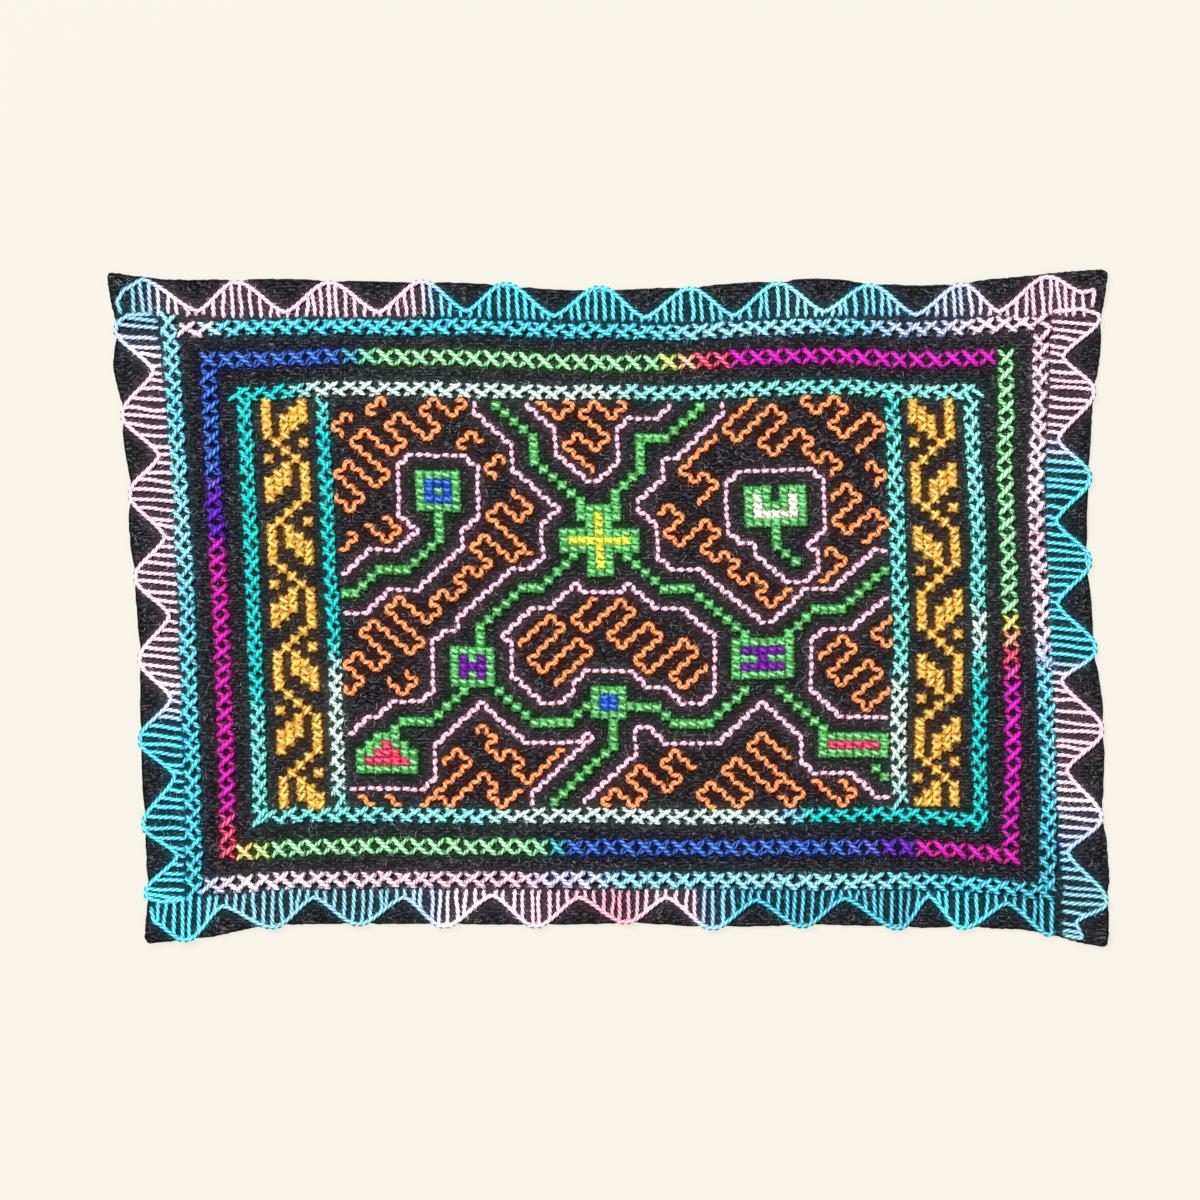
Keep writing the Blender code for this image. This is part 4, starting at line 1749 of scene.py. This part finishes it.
def cloth_material():
    """Coarse black plain weave: soft threads over and under each other, with painted shade in the
    hollows between them and pale fibres on them. It has painted shade close to the stitches, and a
    little of their colour painted on as reflected light."""
    nodes = Nodes(
        "black_woven_cloth", roughness=0.95, sheen=0.03, sheen_roughness=0.5, specular=0.06
    )
    place = nodes.add("ShaderNodeTexCoord").outputs["Object"]
    shifted = nodes.add("ShaderNodeVectorMath", operation="MULTIPLY_ADD")
    nodes.link(nodes.noise(place, DRIFT_SCALE, output="Color"), shifted.inputs[0])
    shifted.inputs[1].default_value = DRIFT
    nodes.link(place, shifted.inputs[2])
    x, y = nodes.parts(nodes.scaled(shifted.outputs[0], WEAVE_SCALE))[:2]

    def over_under(along, across):
        """A thread's height: round across its width, over and under its neighbours by turns."""
        width = nodes.math("ABSOLUTE", nodes.math("SINE", nodes.math("MULTIPLY", across, np.pi)))
        turn = nodes.math("MULTIPLY", nodes.math("FLOOR", across), np.pi)
        wave = nodes.math("SINE", nodes.math("ADD", nodes.math("MULTIPLY", along, np.pi), turn))
        return nodes.math("MULTIPLY", width, nodes.math("MULTIPLY_ADD", wave, 0.5, 0.5))

    warp = nodes.math("MULTIPLY", over_under(y, x), WARP_HEIGHT)
    weft = over_under(nodes.math("MULTIPLY", x, WEFT_STRETCH), y)
    weave = nodes.math("MAXIMUM", warp, weft)
    fuzz = nodes.noise(place, FUZZ_SCALE, detail=4.0, rough=0.7)
    flecks = nodes.math("MAXIMUM", *(
        nodes.remap(nodes.noise(nodes.scaled(place, scale), detail=3.0, rough=0.65), *limits)
        for scale, limits in (FLECKS_ALONG, FLECKS_UP)
    ))
    patches = nodes.noise(place, PATCH_SCALE, detail=3.0)
    crest = nodes.math("MULTIPLY", weave, nodes.remap(fuzz, *FUZZ_RANGE))
    # Painted shade in the weave's hollows, and the cloth's own dark colour on its crests
    dark = nodes.mix(nodes.remap(crest, *CREST_RANGE), HOLLOW_SHADE_COLOUR, CREST_COLOUR)
    warm = nodes.mix(nodes.remap(patches, *PATCH_RANGE), dark, WARM_COLOUR)
    pale = nodes.mix(nodes.math("MULTIPLY", flecks, FLECK_SHARE), warm, FLECK_COLOUR)
    # Painted shade near the stitches, then the threads' colour painted on as reflected light
    near = nodes.parts(nodes.attribute("fibre", "Vector"))[0]
    shaded = nodes.mix(nodes.math("MULTIPLY", near, SHADOW_SHARE), pale, SHADOW_COLOUR)
    bounce_light = nodes.mix(BOUNCE_LIGHT_SHARE, BLACK, nodes.gamma(nodes.attribute("thread", "Color"), BOUNCE_LIGHT_POWER))
    nodes.link(nodes.mix(1.0, shaded, bounce_light, "ADD"), nodes.shader.inputs["Base Color"])
    nodes.bump(nodes.math("MULTIPLY_ADD", fuzz, 0.5, weave), 0.9, WEAVE_BUMP)
    return nodes.material


FIBRE_SCALE = 900.0
FIBRE_RANGE = (0.3, 0.7, 0.7, 1.2)


def fibre_material():
    """Loose fibres in the colour that comes with their mesh, lighter and darker by turns."""
    nodes = Nodes("loose_fibre", roughness=0.8, sheen=0.2, sheen_roughness=0.5, specular=0.2)
    place = nodes.add("ShaderNodeTexCoord").outputs["Object"]
    light = nodes.remap(nodes.noise(place, FIBRE_SCALE), *FIBRE_RANGE)
    grey = nodes.add("ShaderNodeCombineColor")
    for channel in range(3):
        nodes.link(light, grey.inputs[channel])
    colour = nodes.mix(1.0, nodes.attribute("thread", "Color"), grey.outputs[0], "MULTIPLY")
    nodes.link(colour, nodes.shader.inputs["Base Color"])
    return nodes.material


FLOOR_COLOUR = (0.06, 0.06, 0.06, 1.0)
FLOOR_GLOW = (0.835, 0.800, 0.711, 1.0)


def floor_material():
    nodes = Nodes("pale_floor", roughness=0.95, sheen=0.0, sheen_roughness=0.5, specular=0.0)
    nodes.shader.inputs["Base Color"].default_value = FLOOR_COLOUR
    nodes.shader.inputs["Emission Color"].default_value = FLOOR_GLOW
    nodes.shader.inputs["Emission Strength"].default_value = 1.0
    return nodes.material


# The stage, in metres: a pale floor, soft light and a camera looking straight down

CAMERA_SPAN = 0.36
CAMERA_X = -0.00260
CAMERA_Y = 0.00256
CAMERA_LENS = 150.0
CAMERA_SENSOR = 36.0
CAMERA_CLIP = (0.01, 20.0)
CAMERA_AIM = 0.002
WORLD_STRENGTH = 0.45
FLOOR_HALF = 12.0
FLOOR_HEIGHT = -0.00002

# Lamps: the columns (name, watts, place, size)
LAMPS = (
    ("key", 88.0, (-0.7, 0.9, 2.2), 0.8),
    ("fill", 5.0, (1.2, -0.6, 1.4), 1.4),
)


def make_camera():
    data = bpy.data.cameras.new("camera")
    data.lens = CAMERA_LENS
    data.sensor_width = CAMERA_SENSOR
    data.clip_start, data.clip_end = CAMERA_CLIP
    camera = bpy.data.objects.new("camera", data)
    distance = CAMERA_SPAN * CAMERA_LENS / CAMERA_SENSOR
    camera.location = (CAMERA_X, CAMERA_Y, CAMERA_AIM + distance)
    bpy.context.scene.collection.objects.link(camera)
    bpy.context.scene.camera = camera


def make_light():
    world = bpy.data.worlds.new("studio")
    world.use_nodes = True
    background = world.node_tree.nodes["Background"]
    background.inputs["Color"].default_value = (1.0, 1.0, 1.0, 1.0)
    background.inputs["Strength"].default_value = WORLD_STRENGTH
    bpy.context.scene.world = world
    for name, energy, place, size in LAMPS:
        data = bpy.data.lights.new(name, "AREA")
        data.energy = energy
        data.shape = "DISK"
        data.size = size
        lamp = bpy.data.objects.new(name, data)
        lamp.location = place
        lamp.rotation_euler = (-Vector(place)).to_track_quat("-Z", "Y").to_euler()
        bpy.context.scene.collection.objects.link(lamp)


def make_floor():
    corners = np.array([(-1, -1, 0), (1, -1, 0), (1, 1, 0), (-1, 1, 0)])
    points = (corners * FLOOR_HALF + (0, 0, FLOOR_HEIGHT)) / MM
    floor = mesh_object("floor", points, [np.array([[0, 1, 2, 3]])])
    floor.data.materials.append(floor_material())


def place_piece(piece, material):
    piece.data.materials.append(material)
    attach(piece, "root")


def border_threads():
    """The threads of the edging, of the bands and of the vine."""
    edging = Thread("scallop_edging", "rope_thread")
    for side in SCALLOP_SIDES:
        scallops(edging, *side)
    outer = Thread("outer_herringbone", "twisted_thread")
    for band, pitch, width, lay, radius, bend in OUTER_ROWS:
        herringbone(outer, Band(*band), pitch, width, lay, radius, OUTER_TURN, OUTER_RINGS, bend)
    inner = Thread("inner_herringbone", "twisted_thread")
    for band, pitch, width, lay in INNER_ROWS:
        herringbone(inner, Band(*band), pitch, width, lay, INNER_RADIUS, INNER_TURN, INNER_RINGS)
    crosses = Thread("cross_stitch_row", "twisted_thread")
    for band, pitch, width in CROSS_ROWS:
        cross_row(crosses, Band(*band), pitch, width, CROSS_RADIUS, CROSS_TURN, CROSS_RINGS)
    gold = Thread("gold_vine", "plump_thread", ply=0.12)
    for panel in VINE_PANELS:
        gold_vine(gold, *panel)
    return [edging, outer, inner, crosses, gold]


def panel_threads():
    """The threads of the middle panel."""
    counted = Thread("counted_crosses", "plump_thread", ply=0.12, hairy=False)
    beads = Thread("orange_meander", "plump_thread", ply=0.16, painted_bounce=0.55)
    running = Thread("pink_outline", "plump_thread", ply=0.14)
    middle_panel(counted, beads, running)
    return [counted, beads, running]


def main():
    make_camera()
    make_light()
    make_floor()
    bpy.context.scene.view_settings.view_transform = "Standard"

    threads = border_threads() + panel_threads()
    cloth = cloth_sheet(threads)
    place_piece(cloth, cloth_material())
    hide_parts("cloth")

    materials = {look: thread_material(look, *values) for look, values in THREAD_LOOKS.items()}
    for thread in threads:
        place_piece(thread.build(), materials[thread.look])
    place_piece(cloth_fibres(), fibre_material())
    place_piece(thread_fibres([thread for thread in threads if thread.hairy]), fibre_material())


main()
